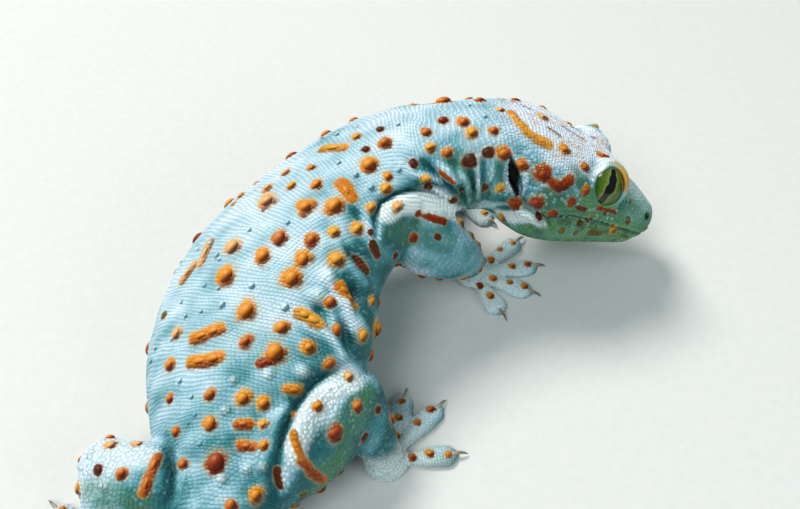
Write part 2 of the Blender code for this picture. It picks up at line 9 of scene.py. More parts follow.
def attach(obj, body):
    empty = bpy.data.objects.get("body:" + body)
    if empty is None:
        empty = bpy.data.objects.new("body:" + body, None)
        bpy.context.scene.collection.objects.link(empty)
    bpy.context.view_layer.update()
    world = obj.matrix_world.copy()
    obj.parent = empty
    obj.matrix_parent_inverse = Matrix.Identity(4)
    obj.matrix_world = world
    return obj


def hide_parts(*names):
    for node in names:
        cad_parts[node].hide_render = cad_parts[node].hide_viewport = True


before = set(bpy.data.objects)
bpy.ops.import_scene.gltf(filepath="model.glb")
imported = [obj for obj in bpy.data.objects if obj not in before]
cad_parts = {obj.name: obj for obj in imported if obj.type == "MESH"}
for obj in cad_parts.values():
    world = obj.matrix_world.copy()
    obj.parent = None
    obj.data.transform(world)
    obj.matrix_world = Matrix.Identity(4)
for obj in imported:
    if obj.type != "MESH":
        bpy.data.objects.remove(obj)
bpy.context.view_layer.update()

# A life-size tokay gecko resting on the floor. Lengths are in millimetres until a mesh is made.
# "back" is the distance from the snout tip, "turn" the angle round the body from its right side.
MM = 0.001
BASE_MIDDLE = np.array([-37.6, -46.9, 0.0])
TOTAL_LENGTH = 297.0
HEAD_STRAIGHT = 40.0
HEAD_PITCH_DEG, HEAD_ROLL_DEG = -27.0, 15.0
SNOUT_TIP = np.array([57.0, 13.0, 12.2])

# The photograph's frame, and the camera that matches it
PHOTO_WIDTH, PHOTO_HEIGHT = 800, 509
VIEW_DOWN_DEG = 48.0
FOCAL_PIXELS = 1000.0
CAMERA_AWAY = 221.0
CAMERA_AIM = np.array([0.0, 0.0, 14.0])

# Middle of the body from the nape to the tail tip
SPINE = (
    (12.3, 10.4, 32.8), (-0.4, 8.8, 31), (-12, 0.9, 27.6), (-22.7, -10.9, 22.6), (-28.2, -26.4, 17.6),
    (-31.2, -40.8, 14.2), (-32.2, -54.6, 11.6), (-33, -68, 8.8), (-35, -82, 6.3), (-41, -99, 5.2),
    (-54, -117, 4.2), (-73, -130, 3.2), (-95, -136, 2.4), (-117, -132, 1.5), (-133, -121, 0.6),
)
# Distance back, half width, height above and below the middle, squareness of the section
SECTIONS = np.array((
    (0, 1.7, 1.6, 1.4, 2), (1.2, 4.2, 3.4, 3.2, 2.1), (4, 6.7, 5.1, 4.8, 2.2), (9, 8.8, 7, 6.3, 2.3),
    (16, 11.4, 9.2, 7.8, 2.4), (24, 14.6, 11.4, 9.4, 2.4), (31, 16.4, 12.7, 10.4, 2.3),
    (37, 15.9, 13.1, 10.7, 2.2), (44, 13.4, 12.7, 10.3, 2.1), (50, 12.7, 12.5, 10.2, 2),
    (58, 13.9, 12.8, 10.8, 2), (66, 15.8, 13, 12, 2), (78, 18.6, 13.2, 13.2, 2), (92, 21.4, 13.2, 14, 2.1),
    (106, 23.2, 12.8, 14, 2.15), (120, 21.4, 11.8, 14.2, 2.1), (131, 16.8, 10.6, 13.4, 2),
    (140, 13.4, 9.6, 12.2, 2), (150, 10.2, 8.2, 9.6, 2), (157, 8.3, 7.2, 7.4, 2), (166, 7.8, 6.8, 6.4, 2),
    (185, 7, 6, 5.6, 2), (212, 5.4, 4.8, 4.4, 2), (240, 3.8, 3.4, 3.1, 2), (268, 2.3, 2.1, 2, 2),
    (288, 1.2, 1.1, 1.1, 2), (296, 0.6, 0.6, 0.6, 2),
))
# How far the back leans to the left, in degrees, by distance back
LEAN = np.array((
    (0, HEAD_ROLL_DEG), (40, HEAD_ROLL_DEG), (60, 13), (80, 12), (110, 10),
    (140, 7), (160, 3), (185, 0), (300, 0),
))
# Leg joints, each with the half width of the flesh there
LEGS = {
    "foreleg_right": (
        ((-5, 5.5, 27.5), 7.4), ((4.6, -4, 24.3), 7.7), ((11.6, -2.2, 17), 5.8),
        ((16.9, 5.4, 4.4), 3),
    ),
    "foreleg_left": (
        ((-3, 14, 27), 7), ((-1, 25.5, 22), 6.4), ((3.6, 30.5, 15), 5.2),
        ((13.4, 30, 4.4), 3),
    ),
    "hindleg_right": (
        ((-30.5, -56, 11.5), 7.6), ((-19.5, -48.5, 14.6), 9.2), ((-10, -39, 14), 7.4),
        ((-3, -44.6, 4.8), 3.4),
    ),
    "hindleg_left": (
        ((-34, -57, 11.5), 7.4), ((-45, -56, 12.5), 7.6), ((-54.3, -52.5, 12), 6),
        ((-54, -66, 4.8), 3.4),
    ),
}
LIMB_BEND = 0.7
# Half width of each palm, and each toe's heading in degrees and its length
FEET = {
    "foreleg_right": (4.4, ((98, 9), (43, 13.5), (10, 13), (-22, 12), (-62, 10.5))),
    "foreleg_left": (4.4, ((-40, 9), (-12, 11.5), (16, 13), (46, 13), (84, 10.5))),
    "hindleg_right": (4.8, ((128, 8.5), (100, 11.5), (76, 14), (50, 15), (8, 12))),
    "hindleg_left": (4.8, ((54, 8.5), (84, 11.5), (110, 14), (138, 15), (182, 12))),
}
# Along a toe: share of its length, half width, half height, height of its middle
TOE_SHAPE = np.array((
    (0, 1.7, 1.9, 1.35), (0.32, 1.35, 1.5, 1.05), (0.52, 2, 1.3, 0.92), (0.76, 2.6, 1.2, 0.86),
    (0.93, 2.05, 1.05, 0.75), (1, 0.9, 0.8, 0.57),
))
CLAW_LENGTH, CLAW_RADIUS, CLAW_SUNK = 2.2, 0.5, 1.3
# A palm is a flat ellipsoid, and each toe starts under its middle
PALM_MIDDLE, PALM_FLAT, TOE_IN_PALM = 1.7, 0.55, 0.6

# Head features in the head's own frame: back from the snout tip, to the side, up
EYE_CENTRE = (19.3, 8.4, 6.9)
EYE_RADIUS = 4.7
EYE_OUT = (-0.08, 0.93, 0.30)
LID_RADIUS, LID_SUNK = 5.6, 1.1
EAR_LINE = ((43.3, 6.2), (41.7, 4.1), (40.1, 2), (38.6, 0))
NOSTRIL = (4.3, 6.1, 2.8)
MOUTH_LINE = np.array((
    (-1, -1.9), (3, -1.8), (8, -1.1), (15, -0.5), (21, 0.1), (26, 0.4), (30, -0.8), (33, -3.4),
))
# Lumps and hollows of the head: height in mm, middle, and reach, both as (back, to the side, up)
HEAD_BELLS = (
    (0.8, (33, 12, 6), (6, 5, 5)), (-0.75, (11, 8, 3.4), (4.6, 3, 2.6)),
    (-0.4, (7, 0, 6), (7, 1.7, 4)), (1.5, (18.5, 1, 10), (8, 5, 4.5)),
    (0.45, (29, 13.5, -4), (6, 5, 4)), (0.5, (4.2, 6, 3.4), (1.9, 1.6, 1.5)),
    (-0.45, (12.5, 0, 9), (3.2, 5, 3.5)),
)
# The eye's opening in the eye's own frame: angle from forward towards up, in degrees, and radius
EYE_OPENING = np.array((
    (-180, 3.85), (-156, 3.95), (-127, 4.1), (-104, 4.15), (-84, 3.95), (-60, 3.7), (-37, 3.35), (-15, 2.9),
    (10, 2.6), (35, 2.55), (58, 2.9), (78, 3.6), (96, 4.1), (114, 4.2), (138, 3.85), (160, 3.8),
    (180, 3.85),
))

# Spots by colour: place in the photograph's pixels and width there
TAN = (
    (266, 200, 22), (267, 187, 12), (285, 172, 11), (231.5, 246.5, 19), (397.5, 207, 12), (295, 416, 9),
    (349, 376, 12), (111, 444, 14), (137, 443, 12), (543, 116, 13), (175.5, 333, 14), (500.7, 109, 9),
    (240, 195, 10), (233, 203, 8), (256, 182, 7), (413, 104, 8),
)
OCHRE = (
    (291, 185, 12), (356, 136, 11), (386, 188, 13), (472.5, 131.7, 14), (357.4, 228.4, 15),
    (337, 259.5, 18), (372.8, 300.5, 12), (363.7, 335.4, 14), (500.2, 189.2, 11), (502, 217, 10),
    (485, 212, 9), (613.5, 229.5, 11), (426, 180, 11), (430, 147, 11), (372, 207, 13), (262.7, 424.2, 11),
    (334, 231.7, 12),
)
ORANGE = (
    (311, 167, 11), (316, 184, 14), (369, 164, 19), (305, 206.5, 20), (334.6, 205, 20), (303, 259, 18),
    (262.5, 255.5, 18), (225.5, 275.3, 22), (291.6, 278, 22), (246.3, 310.5, 22), (275, 352, 22),
    (168.5, 364.5, 14), (309, 347, 16), (565, 149, 15), (281, 327, 17), (242.7, 398.5, 18),
    (263.6, 403.3, 15), (209.5, 423.2, 17), (318, 405.6, 13), (256, 495, 16), (388, 190, 11),
    (386, 143, 11), (388, 176, 11), (263.6, 445, 12),
)
RUST = (
    (384.5, 142, 15), (278.8, 237.6, 17), (311.3, 239.3, 16), (330.5, 302, 14), (338, 329.6, 14),
    (245.4, 341, 16), (209.5, 394.7, 15), (463.8, 121.4, 14), (494, 130, 12), (448, 153, 12),
    (504.5, 154, 16), (522, 165, 13), (585.3, 167, 12), (586.3, 190.3, 11), (329.7, 364.4, 13),
    (231, 505, 13), (182, 463.6, 13), (121, 473, 13), (426, 132, 11), (175, 432, 12), (169, 399, 12),
    (358, 406, 13), (334, 482, 12),
)
RED = (
    (543, 174.6, 19), (536.5, 203.8, 15), (552.7, 214.7, 10), (571.7, 202.7, 11), (515.3, 203.8, 13),
    (413, 238, 10), (215.2, 461.7, 24), (336, 433, 18), (442.7, 119.3, 12),
)
BROWN = (
    (380, 128.7, 9), (365, 148.7, 10), (470.4, 159.4, 16), (487.7, 152.3, 12), (453, 201.7, 10),
    (462, 188, 8), (483.4, 188.6, 10), (538.6, 215.7, 10), (413, 164, 10), (438, 237, 9), (396, 256, 9),
    (379, 410, 9), (365, 438, 12), (97, 470, 12), (590, 219, 8), (428, 187, 8), (371, 232, 8),
)
OLIVE = (
    (163, 315, 9), (629.5, 201, 7), (628.2, 220.7, 9), (579.6, 223, 8), (576, 233, 8), (594, 240, 6),
    (562, 231, 8), (613, 240, 5), (626, 236, 5), (303.6, 495, 8), (605, 214, 5),
)
# Streaks by colour: width in pixels, then the points it runs through
STREAKS = {
    "tan": ((10, (209, 242), (200, 263)), (10, (193, 265), (182, 280))),
    "ochre": (
        (11, (323, 148), (343, 147)), (9, (511, 112), (518, 121), (525, 127)),
        (11, (527, 131), (537, 138), (548, 144)), (13, (299, 312), (310, 317), (319, 323)),
    ),
    "orange": (
        (13, (341, 183), (351, 197)), (14, (195, 338), (207, 333), (219, 329)),
        (15, (192, 362), (206, 360), (219, 357)),
        (12, (288, 389), (300, 390)), (13, (341, 287), (348, 294), (353, 303)),
        (10, (292, 434), (297, 447), (302, 460)),
    ),
    "rust": (
        (12, (238, 424), (248, 424)), (12, (242, 445.5), (251, 446)),
        (8, (441, 173), (446.5, 178), (452, 182)),
        (11, (158, 455), (150, 475), (143, 493)), (10, (302, 460), (313, 474), (325, 482)),
        (9, (343, 478), (352, 470)),
    ),
    "red": (
        (12, (552, 183), (561, 187), (570, 180)), (8, (418, 214), (430, 217), (444, 221)),
        (5, (599, 208), (608, 210), (616, 212)), (11, (260, 364), (268, 361)),
    ),
    "brown": (
        (8, (373, 243), (378, 256)), (8, (354, 258), (360, 263), (366, 271)), (9, (278, 471), (279.5, 486)),
        (5, (577, 207), (585, 210)),
    ),
    "olive": ((6, (588, 233), (600, 233.5)),),
}
# Towards the rear lower side of a spot, away from the light: painted shade darkens a spot that way and a
# painted highlight lightens its front upper side
SHADE_WAY = np.array([0.62, -0.66, -0.42])
# The side of the animal that lies away from the light
RIGHT_AND_DOWN = np.array([0.86, -0.32, -0.4])
SPOT_COLOURS = ("tan", "ochre", "orange", "rust", "red", "brown", "olive")
BY_EYE = dict(zip(SPOT_COLOURS, (TAN, OCHRE, ORANGE, RUST, RED, BROWN, OLIVE)))
# Blue-grey tubercles between the spots, and pale ones
BLUE_POINTS = (
    (287.5, 222, 8), (249, 229.5, 7), (338.4, 162.3, 6), (355.8, 174.2, 9), (371, 187, 9), (398.6, 170, 8),
    (216.2, 255, 8), (251.4, 285.5, 10), (221.8, 304, 11), (284.7, 306.8, 12), (485, 116, 6),
    (191, 396.6, 6), (194.3, 414.7, 6), (188, 423, 6), (199, 444, 7), (179, 381, 6), (200.5, 311.4, 5),
    (185.2, 315.6, 5), (181, 302, 4), (204, 285.5, 4), (155, 348, 7), (154, 333.6, 5), (150.5, 361, 5),
    (171.4, 339, 5), (198, 249, 4), (181, 262, 5), (200, 233, 4), (456.6, 100, 5), (469, 105, 4),
    (398, 124, 5), (356, 127, 5), (337, 134, 5), (322, 138, 5), (294, 152.5, 4), (219, 259.6, 4),
    (218, 288, 4), (210, 243, 4),
)
PALE_POINTS = (
    (328, 276.5, 12), (316.4, 296.4, 12), (302.6, 370.5, 11), (267.5, 374.3, 10), (246.5, 468.4, 8),
    (261.7, 466.5, 8), (220.9, 478.8, 8), (80, 466, 7), (90, 452, 7), (103, 486, 7), (232, 380, 7),
    (225, 410, 7),
)
# Creases (positive depth) and ridges (negative) of the skin: depth and half width in mm, then pixels
# Creases are also painted darker teal, the deepest near-black, as painted shade, and ridges are painted paler
FOLDS = (
    (1.1, 0.55, (461, 187), (464.5, 196), (466, 207)),
    (1, 0.6, (467, 166), (473, 176), (474.5, 190), (474, 207)),
    (-0.7, 0.75, (456, 167), (464, 176), (469.5, 185), (470.5, 206)),
    (-0.6, 0.55, (479, 158), (478, 176), (478.5, 196), (478.5, 208)),
    (0.5, 1.2, (487, 160), (486, 183), (484, 203)),
    (-0.4, 0.9, (494, 160), (493, 183), (491, 200)),
    (0.75, 0.6, (423, 161), (431, 168), (438, 175)),
    (-0.6, 0.8, (440, 166), (448, 171), (456, 180), (461, 186)),
    (0.86, 0.55, (437, 175), (446, 184), (455, 191), (461, 199)),
    (-0.6, 0.7, (403, 163), (415, 175), (430, 178), (442, 183), (450, 187)),
    (0.7, 0.55, (420, 185), (434, 185), (446, 191), (454, 197)),
    (-0.55, 0.6, (433, 188), (441, 192), (449, 198)),
    (0.6, 0.6, (447, 156), (454, 163), (461, 172)),
    (0.7, 0.8, (345, 243), (352, 252), (359, 262), (366, 275)),
    (-0.45, 0.7, (350, 262), (358, 270), (365, 280), (369, 292)),
    (0.9, 0.9, (349, 279), (355, 290), (358, 303)),
    (-0.5, 0.7, (341, 293), (347, 304), (353, 316)),
    (1, 1, (340, 314), (346, 328), (351, 342), (352, 354)),
    (-0.6, 0.8, (321, 326), (334, 341), (345, 354), (352, 363)),
    (0.45, 0.8, (313, 301), (322, 312), (331, 321)),
    (0.4, 0.6, (323, 285), (330, 292), (337, 300)),
    (0.5, 0.7, (352, 207), (358, 214), (363, 223)),
    (0.35, 0.8, (302, 330), (316, 341), (325, 352)),
    (0.95, 0.6, (377, 236), (376, 217), (382, 202), (395, 194), (412, 190), (431, 192), (447, 201),
     (459, 213)),
    (-0.6, 1.5, (386, 226), (391, 211), (404, 202), (426, 203), (443, 212)),
    (1.2, 0.9, (275, 500), (277, 470), (281, 443), (287, 421), (298, 401), (314, 383), (332, 371),
     (349, 365)),
    (-0.8, 1.8, (291, 490), (292, 460), (297, 433), (308, 411), (326, 393), (347, 382)),
    (1, 0.9, (166, 436), (171, 452), (173, 470), (171, 492), (168, 506)),
    (0.9, 0.55, (517, 196), (525, 204), (535, 212), (545, 220), (554, 229)),
    (-0.35, 0.7, (506, 204), (518, 211), (531, 218), (543, 226)),
)
# Painted light: pale washes over the lit tops of the limbs and the throat's side, where they also give the
# throat its
# pale skin: half width in pixels, strength, then the points they run through
PALE_AND_LIT_WASHES = (
    (13, 1, (390, 211), (402, 203), (420, 200), (438, 204), (450, 213)),
    (17, 0.8, (296, 446), (303, 424), (318, 404), (346, 379)), (13, 0.2, (90, 448), (120, 446), (146, 462)),
    (7, 0.8, (480, 221), (500, 213), (518, 215), (540, 226)), (6, 0.4, (480, 205), (494, 204), (506, 204)),
)
# Teal painted shade, drawn the same way, on the limbs' sides away from the light, the neck, the back's middle
# and the lower head; on the cheek and temple it is also their own teal and green
TEAL_AND_SHADE_WASHES = (
    (15, 1, (338, 470), (345, 440), (360, 415), (368, 398)),
    (17, 1.3, (318, 492), (324, 472), (338, 460)),
    (10, 0.8, (340, 436), (348, 416), (353, 400)),
    (15, 0.68, (394, 229), (410, 235), (430, 238), (446, 238)),
    (19, 0.95, (92, 494), (118, 495), (138, 507)), (26, 0.2, (272, 285), (256, 318), (240, 352)),
    (10, 1, (531, 205), (548, 214), (566, 216)), (12, 0.8, (455, 160), (468, 175), (470, 205)),
    (9, 0.5, (494, 166), (495, 182), (492, 194)),
    (8, 1, (574, 172), (583, 180), (588, 196)), (11, 1, (548, 200), (562, 206), (578, 214)),
)
# Along the loose, lumpy skin of the right flank
FLANK_LINE = ((350, 240), (357, 275), (348, 312), (350, 350))
CROWN_DASHES = (
    ((521, 105), (532, 110)), ((540, 108), (560, 118)), ((563, 127), (583, 139)), ((571, 127), (594, 138)),
    ((478, 96), (492, 99)), ((500, 99), (516, 103)), ((548, 128), (560, 136)),
)

SKIN_VOXEL = 0.62
GRAIN_SEED = 20


def rgb(code):
    """An sRGB hex colour as linear red, green and blue."""
    parts = np.array([int(code[k : k + 2], 16) / 255 for k in (1, 3, 5)])
    return tuple(np.where(parts <= 0.04045, parts / 12.92, ((parts + 0.055) / 1.055) ** 2.4))


def opaque(code):
    """An sRGB hex colour as linear red, green, blue and full alpha."""
    return (*rgb(code), 1)


def smoothstep(low, high, value):
    """0 below low and 1 above high, with an even S between; high may be the smaller."""
    t = np.clip((value - low) / (high - low), 0.0, 1.0)
    return t * t * (3 - 2 * t)


def smooth_between(keys, values, at):
    """Piecewise cubic through the values, with a slope at each key from both neighbours."""
    keys = np.asarray(keys, float)
    values = np.asarray(values, float).reshape(len(keys), -1)
    step = np.diff(keys)[:, None]
    rise = np.diff(values, axis=0) / step
    slope = np.empty_like(values)
    slope[1:-1] = (rise[:-1] * step[1:] + rise[1:] * step[:-1]) / (step[1:] + step[:-1])
    slope[0], slope[-1] = rise[0], rise[-1]
    at = np.clip(np.asarray(at, float), keys[0], keys[-1])
    i = np.clip(np.searchsorted(keys, at, side="right") - 1, 0, len(keys) - 2)
    width = step[i]
    t = (at - keys[i])[:, None] / width
    return (
        (1 + 2 * t) * (1 - t) ** 2 * values[i]
        + t * (1 - t) ** 2 * width * slope[i]
        + t * t * (3 - 2 * t) * values[i + 1]
        + t * t * (t - 1) * width * slope[i + 1]
    )


def how_far(offsets):
    """The length of each offset."""
    return np.linalg.norm(offsets, axis=-1)


def unit(vectors):
    """The vectors at length 1."""
    return vectors / np.maximum(np.linalg.norm(vectors, axis=-1, keepdims=True), 1e-9)


def interpolate(at, keys, rows):
    """Straight-line lookup of each column of rows."""
    return np.stack([np.interp(at, keys, rows[:, k]) for k in range(rows.shape[1])], -1)


# The head's own directions, and the body's middle line
def head_axes():
    """The head's forward, right and up directions."""
    pitch, roll = math.radians(HEAD_PITCH_DEG), math.radians(HEAD_ROLL_DEG)
    forward = np.array([math.cos(pitch), 0.0, math.sin(pitch)])
    right = np.array([0.0, -1.0, 0.0])
    up = np.cross(right, forward)
    return forward, right * math.cos(roll) + up * math.sin(roll), up * math.cos(roll) - right * math.sin(roll)


FORWARD, RIGHT, UP = head_axes()


def head_point(back, side, up):
    """Head coordinates, numbers or arrays, to a place."""
    back, side, up = (np.asarray(v, float)[..., None] for v in (back, side, up))
    return SNOUT_TIP - FORWARD * back + RIGHT * side + UP * up


def head_coordinates(points):
    """A place to head coordinates: distances back, to the right and up from the snout tip."""
    away = points - SNOUT_TIP
    return -(away @ FORWARD), away @ RIGHT, away @ UP


def spine_curve():
    """The middle line as distance from the snout and place: a cubic through the head and SPINE."""
    head = [SNOUT_TIP - FORWARD * back for back in (0.0, 14.0, 28.0, HEAD_STRAIGHT)]
    points = np.array(head + [np.array(p) for p in SPINE])
    chord = np.r_[0.0, np.cumsum(how_far(np.diff(points, axis=0)) ** 0.8)]
    line = smooth_between(chord, points, np.linspace(0.0, chord[-1], 900))
    return np.r_[0.0, np.cumsum(how_far(np.diff(line, axis=0)))], line


SPINE_LENGTH, SPINE_LINE = spine_curve()


def spine_at(back):
    """Places on the body's middle line at distances back from the snout tip."""
    return interpolate(np.clip(back, 0.0, SPINE_LENGTH[-1]), SPINE_LENGTH, SPINE_LINE)


def body_frames(back):
    """Middle, right and up of the section at each distance back, leaned by LEAN."""
    ahead = unit(spine_at(back - 1.0) - spine_at(back + 1.0))
    right = unit(np.cross(ahead, [0.0, 0.0, 1.0]))
    up = np.cross(right, ahead)
    lean = np.radians(smooth_between(LEAN[:, 0], LEAN[:, 1], back))
    cosine, sine = np.cos(lean), np.sin(lean)
    return spine_at(back), right * cosine + up * sine, up * cosine - right * sine


def rounded(middle, right, up, half, above, below, squareness, turn):
    """A superellipse: signed powers of the turn's cosine and sine, times the half sizes."""
    power = (2.0 / squareness)[:, None]
    cosine, sine = np.cos(turn)[:, None], np.sin(turn)[:, None]
    across = np.sign(cosine) * np.abs(cosine) ** power * half[:, None]
    rise = np.sign(sine) * np.abs(sine) ** power
    rise = np.where(rise > 0.0, rise * above[:, None], rise * below[:, None])
    return middle + across * right + rise * up


def body_surface(back, turn):
    """The body's surface at each (back, turn): a superellipse on the bent middle line, flat on the floor."""
    sizes = smooth_between(SECTIONS[:, 0], SECTIONS[:, 1:], back)
    points = rounded(*body_frames(back), sizes[:, 0], sizes[:, 1], sizes[:, 2], sizes[:, 3], turn)
    points[:, 2] = np.maximum(points[:, 2], 0.0)
    return points


def limb_line(joints):
    """A limb's middle line, its length so far and its half widths: straight, or one even bend."""
    points = np.array([joint[0] for joint in joints], float)
    share = np.linspace(0.0, 1.0, 121)[:, None]
    if len(points) == 2:
        line = points[0] * (1 - share) + points[1] * share
    else:
        control = points[1] + LIMB_BEND * (points[1] - (points[0] + points[2]) / 2)
        line = points[0] * (1 - share) ** 2 + 2 * control * share * (1 - share) + points[2] * share**2
    reach = np.r_[0.0, np.cumsum(how_far(np.diff(line, axis=0)))]
    widths = [joint[1] for joint in joints]
    half = smooth_between(np.linspace(0.0, 1.0, len(points)), widths, share[:, 0])[:, 0]
    return line, reach, half


def limb_surface(joints, swell, place, turn):
    """A limb's surface at each (place, turn): circles on its line, closing as half balls past both ends."""
    line, reach, half = limb_line(joints)
    half = half + swell * np.sin(np.pi * reach / reach[-1])
    length, a, b = reach[-1], half[0], half[-1]
    inside = np.clip(place, 0.0, length)
    ahead = unit(interpolate(inside, reach, np.gradient(line, axis=0)))
    middle = interpolate(inside, reach, line) + ahead * (place - inside)[:, None]
    size = np.interp(place, reach, half)
    size = np.where(place < 0.0, np.sqrt(np.maximum(a * a - place**2, 0.0)), size)
    size = np.where(place > length, np.sqrt(np.maximum(b * b - (place - length) ** 2, 0.0)), size)
    right = unit(np.cross(ahead, [0.0, 0.0, 1.0]))
    points = rounded(middle, right, np.cross(right, ahead), size, size, size, np.full(len(place), 2.0), turn)
    points[:, 2] = np.maximum(points[:, 2], 0.0)
    return points


def limb_extent(joints):
    """First and last place of a limb, from one end ball's tip to the other's."""
    _, reach, half = limb_line(joints)
    return -half[0], reach[-1] + half[-1]


def heading_way(heading):
    """The level direction at a heading, in degrees from +X towards +Y, and the one to its right."""
    ahead = np.array([math.cos(math.radians(heading)), math.sin(math.radians(heading)), 0.0])
    return ahead, np.array([ahead[1], -ahead[0], 0.0])


def toes_of(leg):
    """Each toe's root, under the middle of the palm, with its heading and its length from there."""
    palm_half, toes = FEET[leg]
    x, y, _ = LEGS[leg][3][0]
    return [(np.array([x, y, 0.0]), heading, reach + palm_half * TOE_IN_PALM) for heading, reach in toes]


def toe_surface(root, heading, length, share, turn):
    """A toe's surface at each (share, turn): a flattened superellipse that widens at the pad."""
    ahead, side = heading_way(heading)
    sizes = smooth_between(TOE_SHAPE[:, 0], TOE_SHAPE[:, 1:], share)
    end = np.sqrt(np.clip((1.03 - share) / 0.05, 0.0, 1.0))
    middle = root + ahead * (length * share)[:, None]
    middle[:, 2] = sizes[:, 2]
    count = len(share)
    points = rounded(
        middle, np.tile(side, (count, 1)), np.tile([0.0, 0.0, 1.0], (count, 1)),
        sizes[:, 0] * end, sizes[:, 1] * end, sizes[:, 1] * end, np.full(count, 2.2), turn,
    )
    points[:, 2] = np.maximum(points[:, 2], 0.0)
    return points


def palm_surface(leg, sense):
    """A palm's surface(polar, turn): a flat ellipsoid cut off at the floor, its polar angle counted from the
    top where sense is 1 and from below where it is -1."""
    palm_half = FEET[leg][0]
    x, y, _ = LEGS[leg][3][0]
    return lambda polar, turn: np.stack([
        x + palm_half * np.sin(polar) * np.cos(turn), y + palm_half * np.sin(polar) * np.sin(turn),
        np.maximum(PALM_MIDDLE + sense * palm_half * PALM_FLAT * np.cos(polar), 0.0),
    ], -1)


def lid_mound(eye_side, sense, turned):
    """The middle of an eye's mound of lids, and its surface(polar, turn): a ball of LID_RADIUS sunk LID_SUNK
    into the head. The polar angle counts from the look axis where sense is 1, from behind where it is -1."""
    centre, look, onward, top = eye_frame(eye_side)
    middle = centre - look * LID_SUNK
    return middle, lambda polar, turn: middle + LID_RADIUS * (
        look * sense * np.cos(polar)[:, None]
        + (onward * np.cos(turn)[:, None] + top * turned * np.sin(turn)[:, None]) * np.sin(polar)[:, None]
    )


# Meshes from arrays
def make_mesh(name, points, faces, smooth=True):
    """An object from points in mm of the working frame and arrays of faces with 3 or 4 corners each."""
    mesh = bpy.data.meshes.new(name)
    corners = np.concatenate([f.reshape(-1) for f in faces]).astype(np.int32)
    sides = np.concatenate([np.full(len(f), f.shape[1]) for f in faces]).astype(np.int32)
    mesh.vertices.add(len(points))
    write_points(mesh, points)
    mesh.loops.add(len(corners))
    mesh.loops.foreach_set("vertex_index", corners)
    mesh.polygons.add(len(sides))
    mesh.polygons.foreach_set("loop_start", (np.cumsum(sides) - sides).astype(np.int32))
    mesh.polygons.foreach_set("use_smooth", np.full(len(sides), smooth))
    mesh.update(calc_edges=True)
    mesh.validate()
    obj = bpy.data.objects.new(name, mesh)
    bpy.context.scene.collection.objects.link(obj)
    return obj


def closed_grid(points, rows, columns, start, end):
    """Faces that close a tube of rows of columns points, with a pole point after them at each end."""
    index = np.arange(rows * columns).reshape(rows, columns)
    right = np.roll(index, -1, axis=1)
    quads = np.stack([index[:-1], right[:-1], right[1:], index[1:]], -1).reshape(-1, 4)
    first, last = rows * columns, rows * columns + 1
    caps = np.concatenate([
        np.stack([right[0], index[0], np.full(columns, first)], -1),
        np.stack([index[-1], right[-1], np.full(columns, last)], -1),
    ])
    return np.vstack([points, start, end]), quads, caps


def joined(shells):
    """The points, quads and caps of several closed shells as one array each."""
    points, quads, caps = zip(*shells)
    starts = np.cumsum([0] + [len(shell) for shell in points[:-1]])
    faces = (np.vstack([part + start for part, start in zip(parts, starts)]) for parts in (quads, caps))
    return np.vstack(points), *faces


def tube_shell(surface, places, columns, start, end):
    """Points and faces of a closed tube whose rows lie at places of a surface(place, turn)."""
    turn = np.linspace(0.0, 2 * np.pi, columns, endpoint=False)
    grid = surface(np.repeat(places, columns), np.tile(turn, len(places)))
    return closed_grid(grid, len(places), columns, start, end)


def read(what, field, width, kind=np.float32):
    """One field of a mesh's points, edges, corners or values as an array, width numbers to a row."""
    values = np.empty(len(what) * width, kind)
    what.foreach_get(field, values)
    return values.reshape(-1, width) if width > 1 else values


def read_points(mesh):
    """A mesh's points in mm of the working frame."""
    return read(mesh.vertices, "co", 3).astype(float) / MM + BASE_MIDDLE


def write_points(mesh, points):
    """Moves a mesh's points to places in mm of the working frame."""
    mesh.vertices.foreach_set("co", ((points - BASE_MIDDLE) * MM).astype(np.float32).reshape(-1))
    mesh.update()


def read_normals(mesh):
    """A mesh's point normals."""
    return read(mesh.vertex_normals, "vector", 3).astype(float)


def relax(points, edges, rounds, pull=0.5, push=-0.52, share=None):
    """Moves points to their neighbours' mean and back out again, so steps fade and volume stays."""
    count = len(points)
    one, other = edges[:, 0], edges[:, 1]
    degree = np.maximum(np.bincount(edges.reshape(-1), minlength=count), 1)[:, None]
    for step in range(rounds * 2):
        total = np.stack([
            np.bincount(one, points[other, axis], count) + np.bincount(other, points[one, axis], count)
            for axis in range(3)
        ], -1)
        move = (total / degree - points) * (pull if step % 2 == 0 else push)
        points = points + (move if share is None else move * share[:, None])
    return points


def path_distance(points, path):
    """Distance from each point to a line through the path's points, and the share of the way along."""
    path = np.asarray(path, float)
    if len(path) == 1:
        return how_far(points - path[0]), np.zeros(len(points))
    best, along = np.full(len(points), 1e9), np.zeros(len(points))
    for k, (a, b) in enumerate(zip(path[:-1], path[1:])):
        share = np.clip((points - a) @ (b - a) / max((b - a) @ (b - a), 1e-9), 0.0, 1.0)
        away = how_far(points - a - share[:, None] * (b - a))
        closer = away < best
        along = np.where(closer, (k + share) / (len(path) - 1), along)
        best = np.where(closer, away, best)
    return best, along


def wobble(points, size, seed):
    """Smooth noise from -1 to 1: a sum of sines of the place in turned directions, each size mm long."""
    draw = np.random.default_rng(seed)
    ways = unit(draw.normal(size=(7, 3)))
    lengths = size * draw.uniform(0.7, 1.6, 7)
    shifts = draw.uniform(0, 2 * np.pi, 7)
    return np.sin((points @ ways.T) * (2 * np.pi / lengths) + shifts).mean(1) * 1.9


# The camera that took the photograph, for placing what it shows
VIEW_DOWN = math.radians(VIEW_DOWN_DEG)
CAMERA_PLACE = CAMERA_AIM + CAMERA_AWAY * np.array([0.0, -math.cos(VIEW_DOWN), math.sin(VIEW_DOWN)])
VIEW_AHEAD = np.array([0.0, math.cos(VIEW_DOWN), -math.sin(VIEW_DOWN)])
VIEW_UP = np.array([0.0, math.sin(VIEW_DOWN), math.cos(VIEW_DOWN)])
VIEW_RIGHT = np.array([1.0, 0.0, 0.0])


